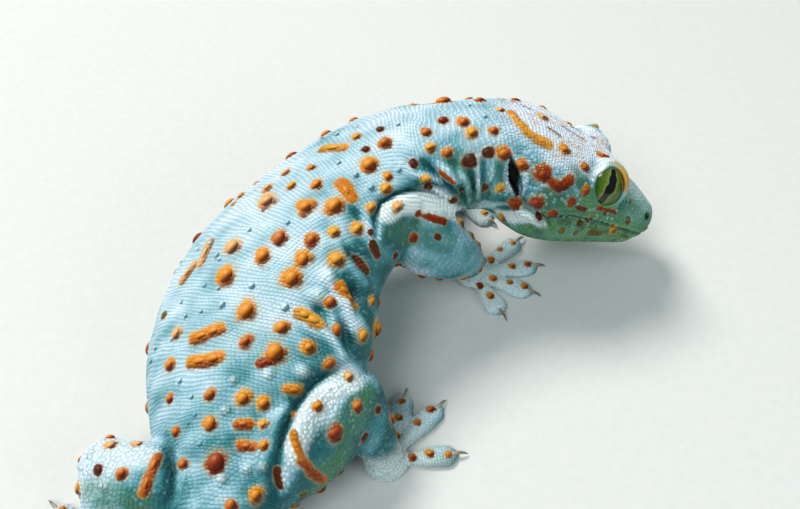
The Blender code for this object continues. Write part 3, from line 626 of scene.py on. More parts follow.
def sight(px, py):
    """The direction from the camera through a pixel of the photograph."""
    across, rise = (px - PHOTO_WIDTH / 2) / FOCAL_PIXELS, (PHOTO_HEIGHT / 2 - py) / FOCAL_PIXELS
    return unit(VIEW_AHEAD + VIEW_RIGHT * across + VIEW_UP * rise)


def pixels(points):
    """Where places fall in the photograph."""
    away = points - CAMERA_PLACE
    depth = away @ VIEW_AHEAD
    across, rise = away @ VIEW_RIGHT / depth, away @ VIEW_UP / depth
    return PHOTO_WIDTH / 2 + FOCAL_PIXELS * across, PHOTO_HEIGHT / 2 - FOCAL_PIXELS * rise


def upper_lower(leg):
    """A leg's two fleshy parts as (joints, swell)."""
    joints = LEGS[leg]
    return (joints[:3], 0.5), (joints[2:], 0.3)


def eye_frame(side):
    """Centre of an eyeball, the way it looks, and its forward and up directions."""
    back, across, up = EYE_CENTRE
    centre = head_point(back, across * side, up)
    ahead, out, rise = EYE_OUT
    look = unit(FORWARD * ahead + RIGHT * out * side + UP * rise)
    top = unit(UP - look * (UP @ look))
    onward = np.cross(top, look)
    return centre, look, onward * np.sign(onward @ FORWARD), top


def polar_places(count):
    """Angles from one pole nearly to the other, which closed_grid's own points then close."""
    return np.linspace(0.06, math.pi - 0.06, count)


def base_shells():
    """Closed shells of the body, head mounds, legs, palms and toes, which the skin is drawn over."""
    snout, vent, tail_tip = 6.0, 152.0, TOTAL_LENGTH - 1.0
    places = np.r_[
        np.linspace(0.0, snout, 14)[:-1], np.linspace(snout, vent, 140)[:-1], np.linspace(vent, tail_tip, 110)
    ]
    ends = head_point(-0.25, 0.0, 0.0), spine_at(np.array([TOTAL_LENGTH]))[0]
    shells = [tube_shell(body_surface, places, 96, *ends)]
    for leg in LEGS:
        for joints, swell in upper_lower(leg):
            first, last = limb_extent(joints)
            tips = limb_surface(joints, swell, np.array([first, last]), np.zeros(2))
            places = (first + last) / 2 - np.cos(polar_places(44)) * (last - first) / 2
            shells.append(tube_shell(lambda p, t: limb_surface(joints, swell, p, t), places, 40, *tips))
        x, y, _ = LEGS[leg][3][0]
        palm_top = (x, y, PALM_MIDDLE + FEET[leg][0] * PALM_FLAT)
        shells.append(tube_shell(palm_surface(leg, -1), polar_places(20), 32, (x, y, 0.0), palm_top))
        for root, heading, length in toes_of(leg):
            ends = root + [0, 0, 1.35], root + heading_way(heading)[0] * (length * 1.03) + [0, 0, 0.55]
            surface = lambda s, t: toe_surface(root, heading, length, s, t)
            shells.append(tube_shell(surface, np.linspace(0.0, 1.02, 40), 24, *ends))
    for eye_side in (1, -1):
        middle, mound = lid_mound(eye_side, -1, eye_side)
        look = eye_frame(eye_side)[1] * LID_RADIUS
        shells.append(tube_shell(mound, polar_places(30), 40, middle - look, middle + look))
    return shells


def draw_skin():
    """One closed skin over all the base shells, remeshed evenly and smoothed, most where a leg leaves the
    body."""
    points, *faces = joined(base_shells())
    draft = make_mesh("skin_draft", points, faces)
    remesh = draft.modifiers.new("one_skin", "REMESH")
    remesh.mode = "VOXEL"
    remesh.voxel_size = SKIN_VOXEL * MM
    mesh = bpy.data.meshes.new_from_object(draft.evaluated_get(bpy.context.evaluated_depsgraph_get()))
    bpy.data.objects.remove(draft)
    skin = bpy.data.objects.new("skin", mesh)
    bpy.context.scene.collection.objects.link(skin)
    edges = read(mesh.edges, "vertices", 2, np.int32)
    points = relax(read_points(mesh), edges, 6)
    near_root = np.zeros(len(points))
    for leg in LEGS:
        for (joints, _), reach in zip(upper_lower(leg), (7.0, 4.0)):
            near, _ = path_distance(points, [joints[0][0]])
            near_root = np.maximum(near_root, smoothstep(joints[0][1] + reach, joints[0][1] - 1.0, near))
    points = relax(points, edges, 10, 0.5, -0.2, near_root)
    points[:, 2] = np.maximum(points[:, 2], 0.0)
    write_points(mesh, points)
    return skin


def refine_skin(skin, folds):
    """Cuts the faces near the eyes, ears, nostrils, mouth and folds once more, in both directions."""
    mesh = skin.data
    points = read_points(mesh)
    back, side, up = head_coordinates(points)
    across = np.abs(side)
    mouth = np.abs(up - np.interp(back, MOUTH_LINE[:, 0], MOUTH_LINE[:, 1]))
    wanted = (mouth < 1.5) & (back < 34.5)
    wanted |= (np.abs(back - 41.2) < 4.2) & (np.abs(up - 2.6) < 5.6) & (across > 8)
    wanted |= (back < 8) & (up > 0) & (up < 5)
    for eye_side in (1, -1):
        wanted |= how_far(points - eye_frame(eye_side)[0]) < 7.6
    for _, half, path in folds:
        wanted |= path_distance(points, path)[0] < 1.0 + half
    bpy.ops.object.select_all(action="DESELECT")
    bpy.context.view_layer.objects.active = skin
    skin.select_set(True)
    mesh.vertices.foreach_set("select", wanted)
    edges = read(mesh.edges, "vertices", 2, np.int32)
    mesh.edges.foreach_set("select", wanted[edges].all(1))
    bpy.ops.object.mode_set(mode="EDIT")
    bpy.ops.mesh.select_mode(type="EDGE")
    bpy.ops.mesh.subdivide(number_cuts=1, smoothness=0.0)
    bpy.ops.object.mode_set(mode="OBJECT")
    edges = read(mesh.edges, "vertices", 2, np.int32)
    points = read_points(mesh)
    refined = head_coordinates(points)[0] < 46
    for _, half, path in folds:
        refined |= path_distance(points, path)[0] < 2.0 + half
    write_points(mesh, relax(points, edges, 3, share=refined.astype(float)))


def surface_tree(skin):
    """A search tree over the skin, in the working frame's mm."""
    mesh = skin.data
    mesh.calc_loop_triangles()
    triangles = read(mesh.loop_triangles, "vertices", 3, np.int32)
    return BVHTree.FromPolygons(read_points(mesh).tolist(), triangles.tolist())


def seen(tree, px, py):
    """The skin's place under a pixel of the photograph, or None where it misses."""
    return tree.ray_cast(Vector(CAMERA_PLACE), Vector(sight(px, py)))[0]


def photo_path(tree, spots):
    """The skin's places under a row of pixels, without those that miss it."""
    return [np.array(hit) for hit in (seen(tree, px, py) for px, py in spots) if hit is not None]


def pixel_width(places, width):
    """A width in the photograph's pixels as mm at that place."""
    return width * float(((np.mean(places, 0) - CAMERA_PLACE) @ VIEW_AHEAD) / FOCAL_PIXELS)


def photo_spots(tree):
    """The spots the photograph shows, each a path, half width in mm and hue from 0 to 1."""
    spots = []
    for hue, colour in enumerate(SPOT_COLOURS):
        marks = [(width, (px, py)) for px, py, width in BY_EYE[colour]] + list(STREAKS.get(colour, ()))
        for width, *places in marks:
            path = photo_path(tree, places)
            if path:
                spots.append((path, pixel_width(path, width) / 2, hue / 6))
    return spots


def rule_spots(tree, known):
    """Spots for the sides the photograph hides: staggered rows, bands on the tail, fewer near known ones."""
    draw = np.random.default_rng(GRAIN_SEED)
    near = [np.mean(path, 0) for path, _, _ in known]
    spots = []
    places = []
    for row, back in enumerate(np.arange(8.0, 158.0, 6.3)):
        half, above, below = smooth_between(SECTIONS[:, 0], SECTIONS[:, 1:4], [back])[0]
        count = max(int(2 * math.pi * (half + (above + below) / 2) / 2 / 6.9), 6)
        turn = (np.arange(count) + 0.5 * (row % 2)) / count * 2 * np.pi + draw.normal(0, 0.05, count)
        backs = back + draw.normal(0, 0.7, count)
        shell = body_surface(backs, turn)
        belly = np.sin(turn) < -0.55
        places += [(p, 1.0 if back > 50 else 0.72) for p, low in zip(shell, belly) if not low]
    for back in np.arange(163.0, 292.0, 4.3):
        half = float(smooth_between(SECTIONS[:, 0], SECTIONS[:, 1], [back])[0, 0])
        ring = int(round((back - 163.0) / 4.3)) % 3
        if ring == 2:
            continue
        count = max(int(2 * math.pi * half / 5.2), 4)
        turn = (np.arange(count) + 0.5 * ring) / count * 2 * np.pi
        size = 0.45 + 0.4 * min(half / 6.0, 1.0)
        shell = body_surface(np.full(count, back), turn)
        places += [(p, size) for p, t in zip(shell, turn) if math.sin(t) > -0.5]
    for leg in LEGS:
        for joints, swell in upper_lower(leg):
            first, last = limb_extent(joints)
            for row, place in enumerate(np.arange(first + 4.0, last - 3.0, 5.4)):
                count = max(int(2 * math.pi * float(limb_line(joints)[2].mean()) / 6.2), 4)
                turn = (np.arange(count) + 0.5 * (row % 2)) / count * 2 * np.pi + draw.normal(0, 0.08, count)
                places += [(p, 0.74) for p in limb_surface(joints, swell, np.full(count, place), turn)]
        for root, heading, length in toes_of(leg):
            ahead, side = heading_way(heading)
            for share in (0.36, 0.62, 0.86):
                on_toe = root + [0, 0, 2.2] + ahead * (length * share) + side * draw.normal(0, 0.5)
                places.append((on_toe, 0.46))
    for place, size in places:
        hit, facing, _, away = tree.find_nearest(Vector(place))
        if hit is None or away > 1.6 or hit.z < 1.2:
            continue
        hit = np.array(hit)
        px, py = (float(v) for v in pixels(hit))
        toward = unit(CAMERA_PLACE - hit)
        in_view = -20 < px < PHOTO_WIDTH + 20 and -20 < py < PHOTO_HEIGHT - 4
        block = tree.ray_cast(Vector(hit + toward * 0.8), Vector(toward))[0]
        bare = (np.array(facing) @ toward > 0.22) and block is None and in_view
        if (bare and size > 0.5) or head_coordinates(hit)[0] < 3.0:
            continue
        if near and how_far(np.array(near) - hit).min() < 4.2 * (0.35 + size):
            continue
        near.append(hit)
        hue = draw.choice([0.17, 0.33, 0.36, 0.5, 0.52, 0.66], p=[0.14, 0.24, 0.2, 0.2, 0.12, 0.1])
        spots.append(([hit], (1.95 + draw.normal(0, 0.18)) * size, hue + draw.normal(0, 0.03)))
    return spots


def find_marks(tree, hidden):
    """All that is painted or carved from the listed marks, as paths on the skin, with the hidden spots moved
    onto it.
    """
    moved = [([np.array(tree.find_nearest(Vector(path[0]))[0])], half, hue) for path, half, hue in hidden]
    marks = {"spots": photo_spots(tree) + moved, "flank": photo_path(tree, FLANK_LINE)}
    for key, points in (("blue", BLUE_POINTS), ("pale", PALE_POINTS)):
        paths = [(photo_path(tree, ((px, py),)), width) for px, py, width in points]
        marks[key] = [(path, pixel_width(path, width) / 2, 0.3) for path, width in paths if path]
    marks["dashes"] = [path for path in (photo_path(tree, dash) for dash in CROWN_DASHES) if len(path) > 1]
    for key, washes in (("washes", PALE_AND_LIT_WASHES), ("shadows", TEAL_AND_SHADE_WASHES)):
        paths = [(photo_path(tree, places), half, share) for half, share, *places in washes]
        marks[key] = [(path, pixel_width(path, half), share) for path, half, share in paths if path]
    folds = [(depth, half, photo_path(tree, places)) for depth, half, *places in FOLDS]
    marks["folds"] = [fold for fold in folds if len(fold[2]) > 1]
    return marks


def mark_spots(points, spots):
    """For each point the strongest spot: 1 at its middle, 0.5 at its edge, 0 well outside, that spot's hue,
    and how far it lies from the front upper edge, -1, to the rear lower edge, 1, which sets the spot's
    painted highlight and painted shade."""
    field, hue, shade = np.zeros(len(points)), np.full(len(points), 0.35), np.zeros(len(points))
    rough = wobble(points, 3.4, 4) * 0.16 + wobble(points, 1.5, 9) * 0.1
    for path, half, colour in spots:
        middle = np.mean(path, 0)
        reach = half * 2.2 + how_far(np.array(path) - middle).max()
        close = np.flatnonzero(np.abs(points - middle).max(1) < reach)
        if len(close) == 0:
            continue
        away, _ = path_distance(points[close], path)
        here = np.clip(1.0 - 0.5 * away / half + rough[close] * 0.5, 0.0, 1.0)
        stronger = here > field[close]
        field[close[stronger]], hue[close[stronger]] = here[stronger], colour
        offset = points[close[stronger]] - middle
        if len(path) > 1:
            along = unit(path[-1] - path[0])
            offset = offset - (offset @ along)[:, None] * along
        shade[close[stronger]] = offset @ SHADE_WAY / half
    return field, hue, shade


def mark_lines(points, paths, half):
    """1 on the middle of the nearest of the lines, falling to 0 at one and a half half widths."""
    best = np.full(len(points), 1e9)
    for path in paths:
        middle = np.mean(path, 0)
        reach = half * 2 + how_far(np.array(path) - middle).max()
        close = np.flatnonzero(np.abs(points - middle).max(1) < reach)
        if len(close):
            best[close] = np.minimum(best[close], path_distance(points[close], path)[0])
    return smoothstep(half * 1.5, half * 0.5, best)


def head_oval(side, up):
    """1 within the head's greatest outline, seen from the front, and 0 outside it."""
    return smoothstep(1.15, 1.0, np.hypot(side / 18.5, up / 14.5))


def mouth_away(back, up):
    """Signed distance above the mouth line, in head coordinates."""
    return up - np.interp(back, MOUTH_LINE[:, 0], MOUTH_LINE[:, 1])


def ear_away(back, up):
    """Distance from the ear slit's middle line as a share of its half width, which is widest half way."""
    flat = np.stack([back, up, np.zeros(len(back))], -1)
    away, along = path_distance(flat, [np.array([b, u, 0.0]) for b, u in EAR_LINE])
    return away / (0.3 + 0.85 * np.sin(np.pi * np.clip(along, 0.03, 0.97)) ** 0.8)


def eye_opening(x, y):
    """Radius from the look axis as a share of the opening's radius in that direction."""
    angle = np.degrees(np.arctan2(y, x))
    edge = smooth_between(EYE_OPENING[:, 0], EYE_OPENING[:, 1], angle)[:, 0]
    return np.hypot(x, y) / edge, edge


def in_eye_frame(points, side):
    """Places as distances forward, up and out along the look axis from an eyeball's centre."""
    centre, look, onward, top = eye_frame(side)
    away = points - centre
    return away @ onward, away @ top, away @ look


def nostril_away(back, side, up):
    """Distance from the middle of the nearer nostril, in head coordinates."""
    offset = np.stack([back - NOSTRIL[0], np.abs(side) - NOSTRIL[1], up - NOSTRIL[2]], -1)
    return how_far(offset)


def fold_share(near, half, along):
    """How strong a fold is: a bell across it, and from 0.35 at its ends to 1 half way."""
    return np.exp(-((near / (half * 1.15)) ** 2)) * (0.35 + 0.65 * np.sin(np.pi * along))


def wash_over(points, washes, outer, inner, quick):
    """The strongest wash at each point: its own share within inner half widths of its path, 0 past outer."""
    strongest = np.zeros(len(points))
    for path, half, share in washes:
        away = path_distance(points, path)[0] + 0.8 * quick
        strongest = np.maximum(strongest, share * smoothstep(half * outer, half * inner, away))
    return strongest


def paint_marks(points, normals, marks):
    """Two colours per point that carry the markings and painted light and shade, and the spots' shade for
    their painted
    shade and highlight. First: spot strength, hue, blue tubercle, darkness, which holds dark marks and
    painted shade.
    Second: teal, partly painted shade, jaw green, crown lavender, paleness, which holds pale skin and painted
    light.
    Each is a sum or the greatest of soft steps of the place in head coordinates, of the surface's slope and
    of distances to the marks."""
    back, side, up = head_coordinates(points)
    spots, hue, shade = mark_spots(points, marks["spots"])
    blue, _, blue_shade = mark_spots(points, marks["blue"])
    # The blue flecks keep to the side of each blue mark away from the light: blue-grey tubercles with painted
    # shade
    blue = blue * smoothstep(-0.9, 0.5, blue_shade)
    pale_dots = mark_spots(points, marks["pale"])[0]
    on_head = smoothstep(50.0, 41.0, back) * head_oval(side, up)
    above = normals @ UP
    lip = mouth_away(back, up)
    slow, quick = wobble(points, 17.0, 1), wobble(points, 5.0, 2)
    # Near-black painted shade in the mouth's groove, the ear opening and the nostrils, with the jaw's dark
    # blotches and the crown's dashes
    dark = on_head * smoothstep(0.36, 0.12, np.abs(lip)) * (back < 32.5) * (back > -2) * 0.6
    dark = np.maximum(dark, on_head * smoothstep(1.22, 0.95, ear_away(back, up)) * (np.abs(side) > 9.0))
    blotch = smoothstep(0.2, 0.75, wobble(points, 3.6, 16)) * smoothstep(0.6, -1.0, lip)
    dark = np.maximum(dark, 0.4 * on_head * blotch * smoothstep(38.0, 28.0, back))
    dark = np.maximum(dark, smoothstep(1.15, 0.75, nostril_away(back, side, up)))
    dark = np.maximum(dark, 0.7 * mark_lines(points, marks["dashes"], 0.42))
    crown = on_head * smoothstep(0.66, 0.9, above + 0.1 * quick)
    snout = on_head * smoothstep(14.0, 7.0, back) * smoothstep(0.2, 0.75, above)
    crown = np.maximum(crown, snout * 0.45)
    ear = ear_away(back, up)
    ring = smoothstep(1.15, 1.4, ear) * smoothstep(2.4, 1.8, ear) * (np.abs(side) > 9) * (above > -0.4)
    crown = np.maximum(crown, 0.45 * on_head * ring)
    jaw = 0.95 * on_head * smoothstep(1.6, -1.4, lip + 0.7 * quick) * smoothstep(42.0, 30.0, back)
    jaw = jaw * (0.82 + 0.3 * wobble(points, 4.2, 15))
    cheek = smoothstep(9.5, 1.0, lip + 1.4 * quick) * smoothstep(40.0, 20.0, back + 3.0 * slow)
    jaw = np.maximum(jaw, on_head * 0.78 * cheek * (1 - crown))
    # The side away from the light, the rump and the neck's side run to darker teal as painted shade, and the
    # limbs are painted paler as painted light
    rightward = normals @ RIGHT_AND_DOWN
    teal_and_shade = 0.24 + 0.66 * smoothstep(-0.55, 0.8, rightward) + 0.16 * slow + 0.14 * quick
    teal_and_shade = teal_and_shade + 0.42 * smoothstep(-20.0, -62.0, points[:, 1]) * smoothstep(-58.0, -40.0, points[:, 0])
    from_neck = how_far(points - spine_at(np.array([52.0]))[0])
    teal_and_shade = teal_and_shade + 0.2 * smoothstep(12.0, 3.0, np.abs(from_neck - 6.0)) * smoothstep(-0.2, 0.6, rightward)
    for joints in LEGS.values():
        line, _, half = limb_line(joints[:3])
        near = path_distance(points, line[30::30])[0] - half.max()
        teal_and_shade = teal_and_shade - 0.22 * smoothstep(1.5, -0.5, near)
    # On the head, darker teal the less it faces up: the head's own teal, with painted shade on its sides
    teal_and_shade = np.where(on_head > 0.5, 0.42 + 0.4 * smoothstep(0.86, 0.3, above) + 0.2 * quick, teal_and_shade)
    flank = smoothstep(9.0, 4.0, path_distance(points, marks["flank"])[0])
    # On the lumpy flank, painted shade in the hollows and paler paint on the lumps, from the same wobble that
    # sculpts them
    teal_and_shade = teal_and_shade + flank * (0.12 - 0.5 * wobble(points, 5.5, 12))
    tail = np.flatnonzero(points[:, 1] < -60)
    if len(tail):
        line = spine_at(np.linspace(158.0, 296.0, 70))
        gaps = ((points[tail][:, None] - line[None]) ** 2).sum(2)
        step, near = gaps.argmin(1), np.sqrt(gaps.min(1))
        band = np.sin(step * 2.0 / 15.0 * 2 * np.pi + 0.8 * quick[tail])
        teal_and_shade[tail] += 0.34 * (band * smoothstep(11.0, 9.0, near) * smoothstep(1.0, 6.0, step))
    crease = np.zeros(len(points))
    # Painted shade along the creases: darker teal, near-black where deepest; ridges painted paler
    for depth, half, path in marks["folds"]:
        near, along = path_distance(points, path)
        teal_and_shade = teal_and_shade + 0.75 * depth * fold_share(near, half, along)
        if depth > 0.85:
            crease = np.maximum(crease, np.exp(-((near / (half * 0.8)) ** 2)) * np.sin(np.pi * along) ** 0.5)
    dark = np.maximum(dark, 0.62 * crease**2)
    low = smoothstep(-0.25, -0.8, normals[:, 2]) * smoothstep(6.0, 2.0, points[:, 2])
    # Painted light from the pale washes, less in the creases, and painted shade from the teal ones, which
    # also turns green
    pale_and_lit = wash_over(points, marks["washes"], 1.3, 0.5, quick) * (1 - 0.9 * crease)
    shadow = wash_over(points, marks["shadows"], 1.4, 0.4, quick)
    teal_and_shade = teal_and_shade - 0.3 * pale_and_lit + 0.48 * shadow
    jaw = np.maximum(jaw, 0.42 * shadow)
    foot = np.zeros(len(points))
    for joints in LEGS.values():
        reach = how_far((points - np.array(joints[3][0]))[:, :2])
        foot = np.maximum(foot, smoothstep(19.0, 5.0, reach) * smoothstep(9.0, 5.0, points[:, 2]))
    pale = np.max([0.8 * low, 0.68 * foot, 0.58 * pale_dots, 0.95 * pale_and_lit], axis=0).clip(0.0, 1.0)
    # Round each eye: ochre brow, brown on its underside as painted shade and yellower at its outer edge as a
    # painted highlight, the skin under the brow's edge painted shade too; olive lower rim, cream fold behind
    for eye_side in (1, -1):
        x, y, z = in_eye_frame(points, eye_side)
        share, _ = eye_opening(x, y)
        angle = np.degrees(np.arctan2(y, x))
        near = (z > -0.5) * smoothstep(1.9, 1.7, share)
        beyond = np.hypot(x, y) * (1 - 1 / np.maximum(share, 0.2))
        limit = 2.3 - 0.8 * smoothstep(45.0, 110.0, angle)
        brow = near * smoothstep(-14.0, 6.0, angle) * smoothstep(126.0, 98.0, angle)
        brow = brow * smoothstep(limit, limit - 0.5, beyond + 0.15 * quick)
        rear = near * smoothstep(86.0, 108.0, angle) * smoothstep(1.5, 1.36, share + 0.04 * quick)
        below = near * smoothstep(5.0, -20.0, angle) * smoothstep(-175.0, -150.0, angle)
        spots, hue = np.where(brow > 0.4, 0.53, spots), np.where(brow > 0.4, 0.27, hue)
        shade = np.where(brow > 0.4, 0.6 - 2.2 * (share - 1.0), shade)
        jaw = np.maximum(jaw, 0.9 * (brow > 0.4))
        dark = np.maximum(dark, (z > 0) * 0.8 * smoothstep(1.2, 1.06, share) * (angle > -20) * (angle < 125))
        jaw = np.maximum(jaw, 0.85 * below)
        pale = np.maximum(pale * (1 - below), 0.9 * rear)
        crown = crown * (1 - 0.7 * near)
    # The snout is green rather than lavender
    crown = crown * (1 - 0.8 * on_head * smoothstep(17.0, 9.0, back))
    green = smoothstep(16.0, 9.0, back) * (1 - 0.4 * smoothstep(0.5, 0.9, above))
    jaw = np.maximum(jaw, 0.64 * on_head * green)
    first = np.stack([spots, hue, blue, dark], -1)
    second = np.stack([np.clip(teal_and_shade, 0, 1), jaw, crown, pale], -1)
    return first, second, shade


def store(mesh, name, values):
    """Keeps an array on the mesh's points: four columns as a colour, three as a vector, one as a number."""
    kind = {4: "FLOAT_COLOR", 3: "FLOAT_VECTOR"}.get(values.shape[1] if values.ndim > 1 else 1, "FLOAT")
    layer = mesh.attributes.new(name, kind, "POINT")
    field = {"FLOAT_COLOR": "color", "FLOAT_VECTOR": "vector", "FLOAT": "value"}[kind]
    layer.data.foreach_set(field, values.astype(np.float32).reshape(-1))


def sculpted(skin, marks):
    """The skin's points moved along their normals: sunk by the scales' depth, swollen under spots, and
    folded, slit and grooved where the animal is. Inside the lids it goes under the eyeball. Each lump or
    hollow of the head is a bell of the place in head coordinates."""
    mesh = skin.data
    points, normals = read_points(mesh), read_normals(mesh)
    back, side, up = head_coordinates(points)
    on_head = (back < 48) & (head_oval(side, up) > 0.5)
    across = np.abs(side)
    away = -0.2 * smoothstep(0.1, 0.8, points[:, 2])
    head = np.zeros(len(points))
    for height, middle, reach in HEAD_BELLS:
        parts = ((back - middle[0]) / reach[0]) ** 2 + ((across - middle[1]) / reach[1]) ** 2
        head += height * np.exp(-(parts + ((up - middle[2]) / reach[2]) ** 2))
    lip = mouth_away(back, up)
    head -= 0.5 * smoothstep(0.5, 0.1, np.abs(lip)) * (back < 33) * (back > -2) * smoothstep(33.0, 30.0, back)
    head += 1.25 * smoothstep(-0.8, -3.2, lip) * smoothstep(42.0, 30.0, back) * smoothstep(-3.0, 2.5, back)
    head += 0.22 * np.exp(-(((np.abs(lip) - 1.0) / 0.6) ** 2)) * (back < 30)
    ear = ear_away(back, up)
    head += 0.35 * np.exp(-(((ear - 1.7) / 0.5) ** 2)) * (across > 9)
    ends = np.min([np.hypot(back - b, up - u) for b, u in (EAR_LINE[0], EAR_LINE[-1])], axis=0)
    head -= 2.3 * smoothstep(1.15, 0.6, ear) * (across > 9) * smoothstep(-0.2, 2.2, ends)
    head -= 0.9 * smoothstep(1.05, 0.4, nostril_away(back, side, up))
    away = away + np.where(on_head, head, 0.0)
    away = away + 0.34 * smoothstep(0.35, 0.95, mark_spots(points, marks["spots"] + marks["blue"])[0])
    away = away + 0.85 * smoothstep(0.05, 0.9, mark_spots(points, marks["pale"])[0])
    flank = smoothstep(9.0, 4.0, path_distance(points, marks["flank"])[0])
    away = away + 0.34 * flank * wobble(points, 5.5, 12)
    for depth, half, path in marks["folds"]:
        near, along = path_distance(points, path)
        away = away - 1.9 * depth * fold_share(near, half, along)
    from_neck = how_far(points - spine_at(np.array([60.0]))[0])
    slack = smoothstep(44.0, 52.0, back) * smoothstep(20.0, 10.0, from_neck)
    away = away + 0.2 * slack * wobble(points, 5.0, 6) + 0.07 * wobble(points, 4.0, 7)
    for leg, joints in LEGS.items():
        headings = np.radians([heading for heading, _ in FEET[leg][1]])
        onward = unit(np.array([np.cos(headings).sum(), np.sin(headings).sum(), 0.0]))
        offset = points - np.array([*joints[3][0][:2], 1.5])
        heel = smoothstep(-0.5, -3.5, offset @ onward) * smoothstep(8.0, 5.5, how_far(offset))
        upright = smoothstep(0.9, 0.2, np.abs(normals[:, 2]))
        away = away - 0.75 * heel * smoothstep(4.4, 3.0, points[:, 2]) * upright
    points = points + normals * away[:, None]
    for eye_side in (1, -1):
        x, y, z = in_eye_frame(points, eye_side)
        share, _ = eye_opening(x, y)
        near = (z > 0.5) & (share < 1.6)
        distance = np.sqrt(x**2 + y**2 + z**2)
        under = smoothstep(1.06, 0.9, share)
        wanted = distance * (1 - under) + 3.6 * under
        brow = 0.45 * np.exp(-(((share - 1.28) / 0.2) ** 2)) * smoothstep(-0.2, 0.8, y / 4.5)
        wanted = np.where(near, wanted + brow, distance)
        centre = eye_frame(eye_side)[0]
        points = centre + (points - centre) * (wanted / np.maximum(distance, 1e-6))[:, None]
    points[:, 2] = np.maximum(points[:, 2], 0.0)
    return points


# Places on the skin, found by one small tree of geometry nodes
def add_node(tree, kind, links=(), stops=(), **settings):
    """Adds a node; settings are its fields, links are (input name or number, source socket or value), and
    stops are a colour ramp's (place, colour)."""
    node = tree.nodes.new(kind)
    for field, value in settings.items():
        setattr(node, field, value)
    for socket, source in links:
        target = node.inputs[socket] if isinstance(socket, int) else next(
            s for s in node.inputs if s.name == socket and s.enabled)
        if isinstance(source, bpy.types.NodeSocket):
            tree.links.new(source, target)
        else:
            target.default_value = source
    for index, (at, colour) in enumerate(stops):
        stop = node.color_ramp.elements[index] if index < 2 else node.color_ramp.elements.new(at)
        stop.position, stop.color = at, opaque(colour)
    return node


def out(node, name=0):
    """A node's output, by number or by name."""
    if isinstance(name, int):
        return node.outputs[name]
    return next(s for s in node.outputs if s.name == name and s.enabled)


def onto(skin, places, moved=""):
    """The skin's nearest place to each given place, or its attribute moved there, and the skin's normal."""
    tree = bpy.data.node_groups.new("onto_skin", "GeometryNodeTree")
    tree.interface.new_socket("Geometry", in_out="INPUT", socket_type="NodeSocketGeometry")
    tree.interface.new_socket("Geometry", in_out="OUTPUT", socket_type="NodeSocketGeometry")
    cloud = add_node(tree, "NodeGroupInput")
    target = add_node(tree, "GeometryNodeObjectInfo", (("Object", skin),))
    geometry = out(cloud)
    position = add_node(tree, "GeometryNodeInputPosition")
    if moved:
        position = add_node(
            tree, "GeometryNodeInputNamedAttribute", (("Name", moved),), data_type="FLOAT_VECTOR",
        )
    for name, source in (("nearest", position), ("facing", add_node(tree, "GeometryNodeInputNormal"))):
        value = out(source, "Attribute" if moved and name == "nearest" else 0)
        sample = add_node(
            tree, "GeometryNodeSampleNearestSurface",
            ((0, out(target, "Geometry")), ("Value", value)), data_type="FLOAT_VECTOR",
        )
        keep = add_node(
            tree, "GeometryNodeStoreNamedAttribute",
            (("Geometry", geometry), ("Name", name), ("Value", out(sample, "Value"))),
            data_type="FLOAT_VECTOR", domain="POINT",
        )
        geometry = out(keep)
    add_node(tree, "NodeGroupOutput", ((0, geometry),))
    mesh = bpy.data.meshes.new("places")
    mesh.vertices.add(len(places))
    write_points(mesh, places)
    holder = bpy.data.objects.new("places", mesh)
    bpy.context.scene.collection.objects.link(holder)
    holder.modifiers.new("onto_skin", "NODES").node_group = tree
    found = holder.evaluated_get(bpy.context.evaluated_depsgraph_get()).data
    nearest = read(found.attributes["nearest"].data, "vector", 3).astype(float) / MM + BASE_MIDDLE
    facing = unit(read(found.attributes["facing"].data, "vector", 3).astype(float))
    bpy.data.objects.remove(holder)
    bpy.data.meshes.remove(mesh)
    bpy.data.node_groups.remove(tree)
    return nearest, facing


def seed_rows(surface, places, around, sample_turns=96):
    """Places and turns of staggered rows on a surface(place, turn), evenly spaced round each row by its own
    arc length."""
    turn = np.linspace(0, 2 * np.pi, sample_turns + 1)
    rows = surface(np.repeat(places, len(turn)), np.tile(turn, len(places))).reshape(len(places), -1, 3)
    lengths = how_far(np.diff(rows, axis=1))
    arc = np.concatenate([np.zeros((len(places), 1)), np.cumsum(lengths, 1)], 1)
    counts = np.maximum(np.round(arc[:, -1] / around).astype(int), 3)
    turns = [
        np.interp((np.arange(n) + 0.5 * (k % 2)) / n * length[-1], length, turn)
        for k, (n, length) in enumerate(zip(counts, arc))
    ]
    return np.repeat(places, counts), np.concatenate(turns)


# The place that scales of the lid mounds are given, since no row lies there
ON_MOUND = -1.0
# Waves of the trunk's rows: height in mm, waves round the body, and their drift in radians per mm back
ROW_WAVES = ((0.26, 3, 0.31), (0.2, 9, -0.37), (0.17, 5, 0.83), (0.12, 17, -1.45))


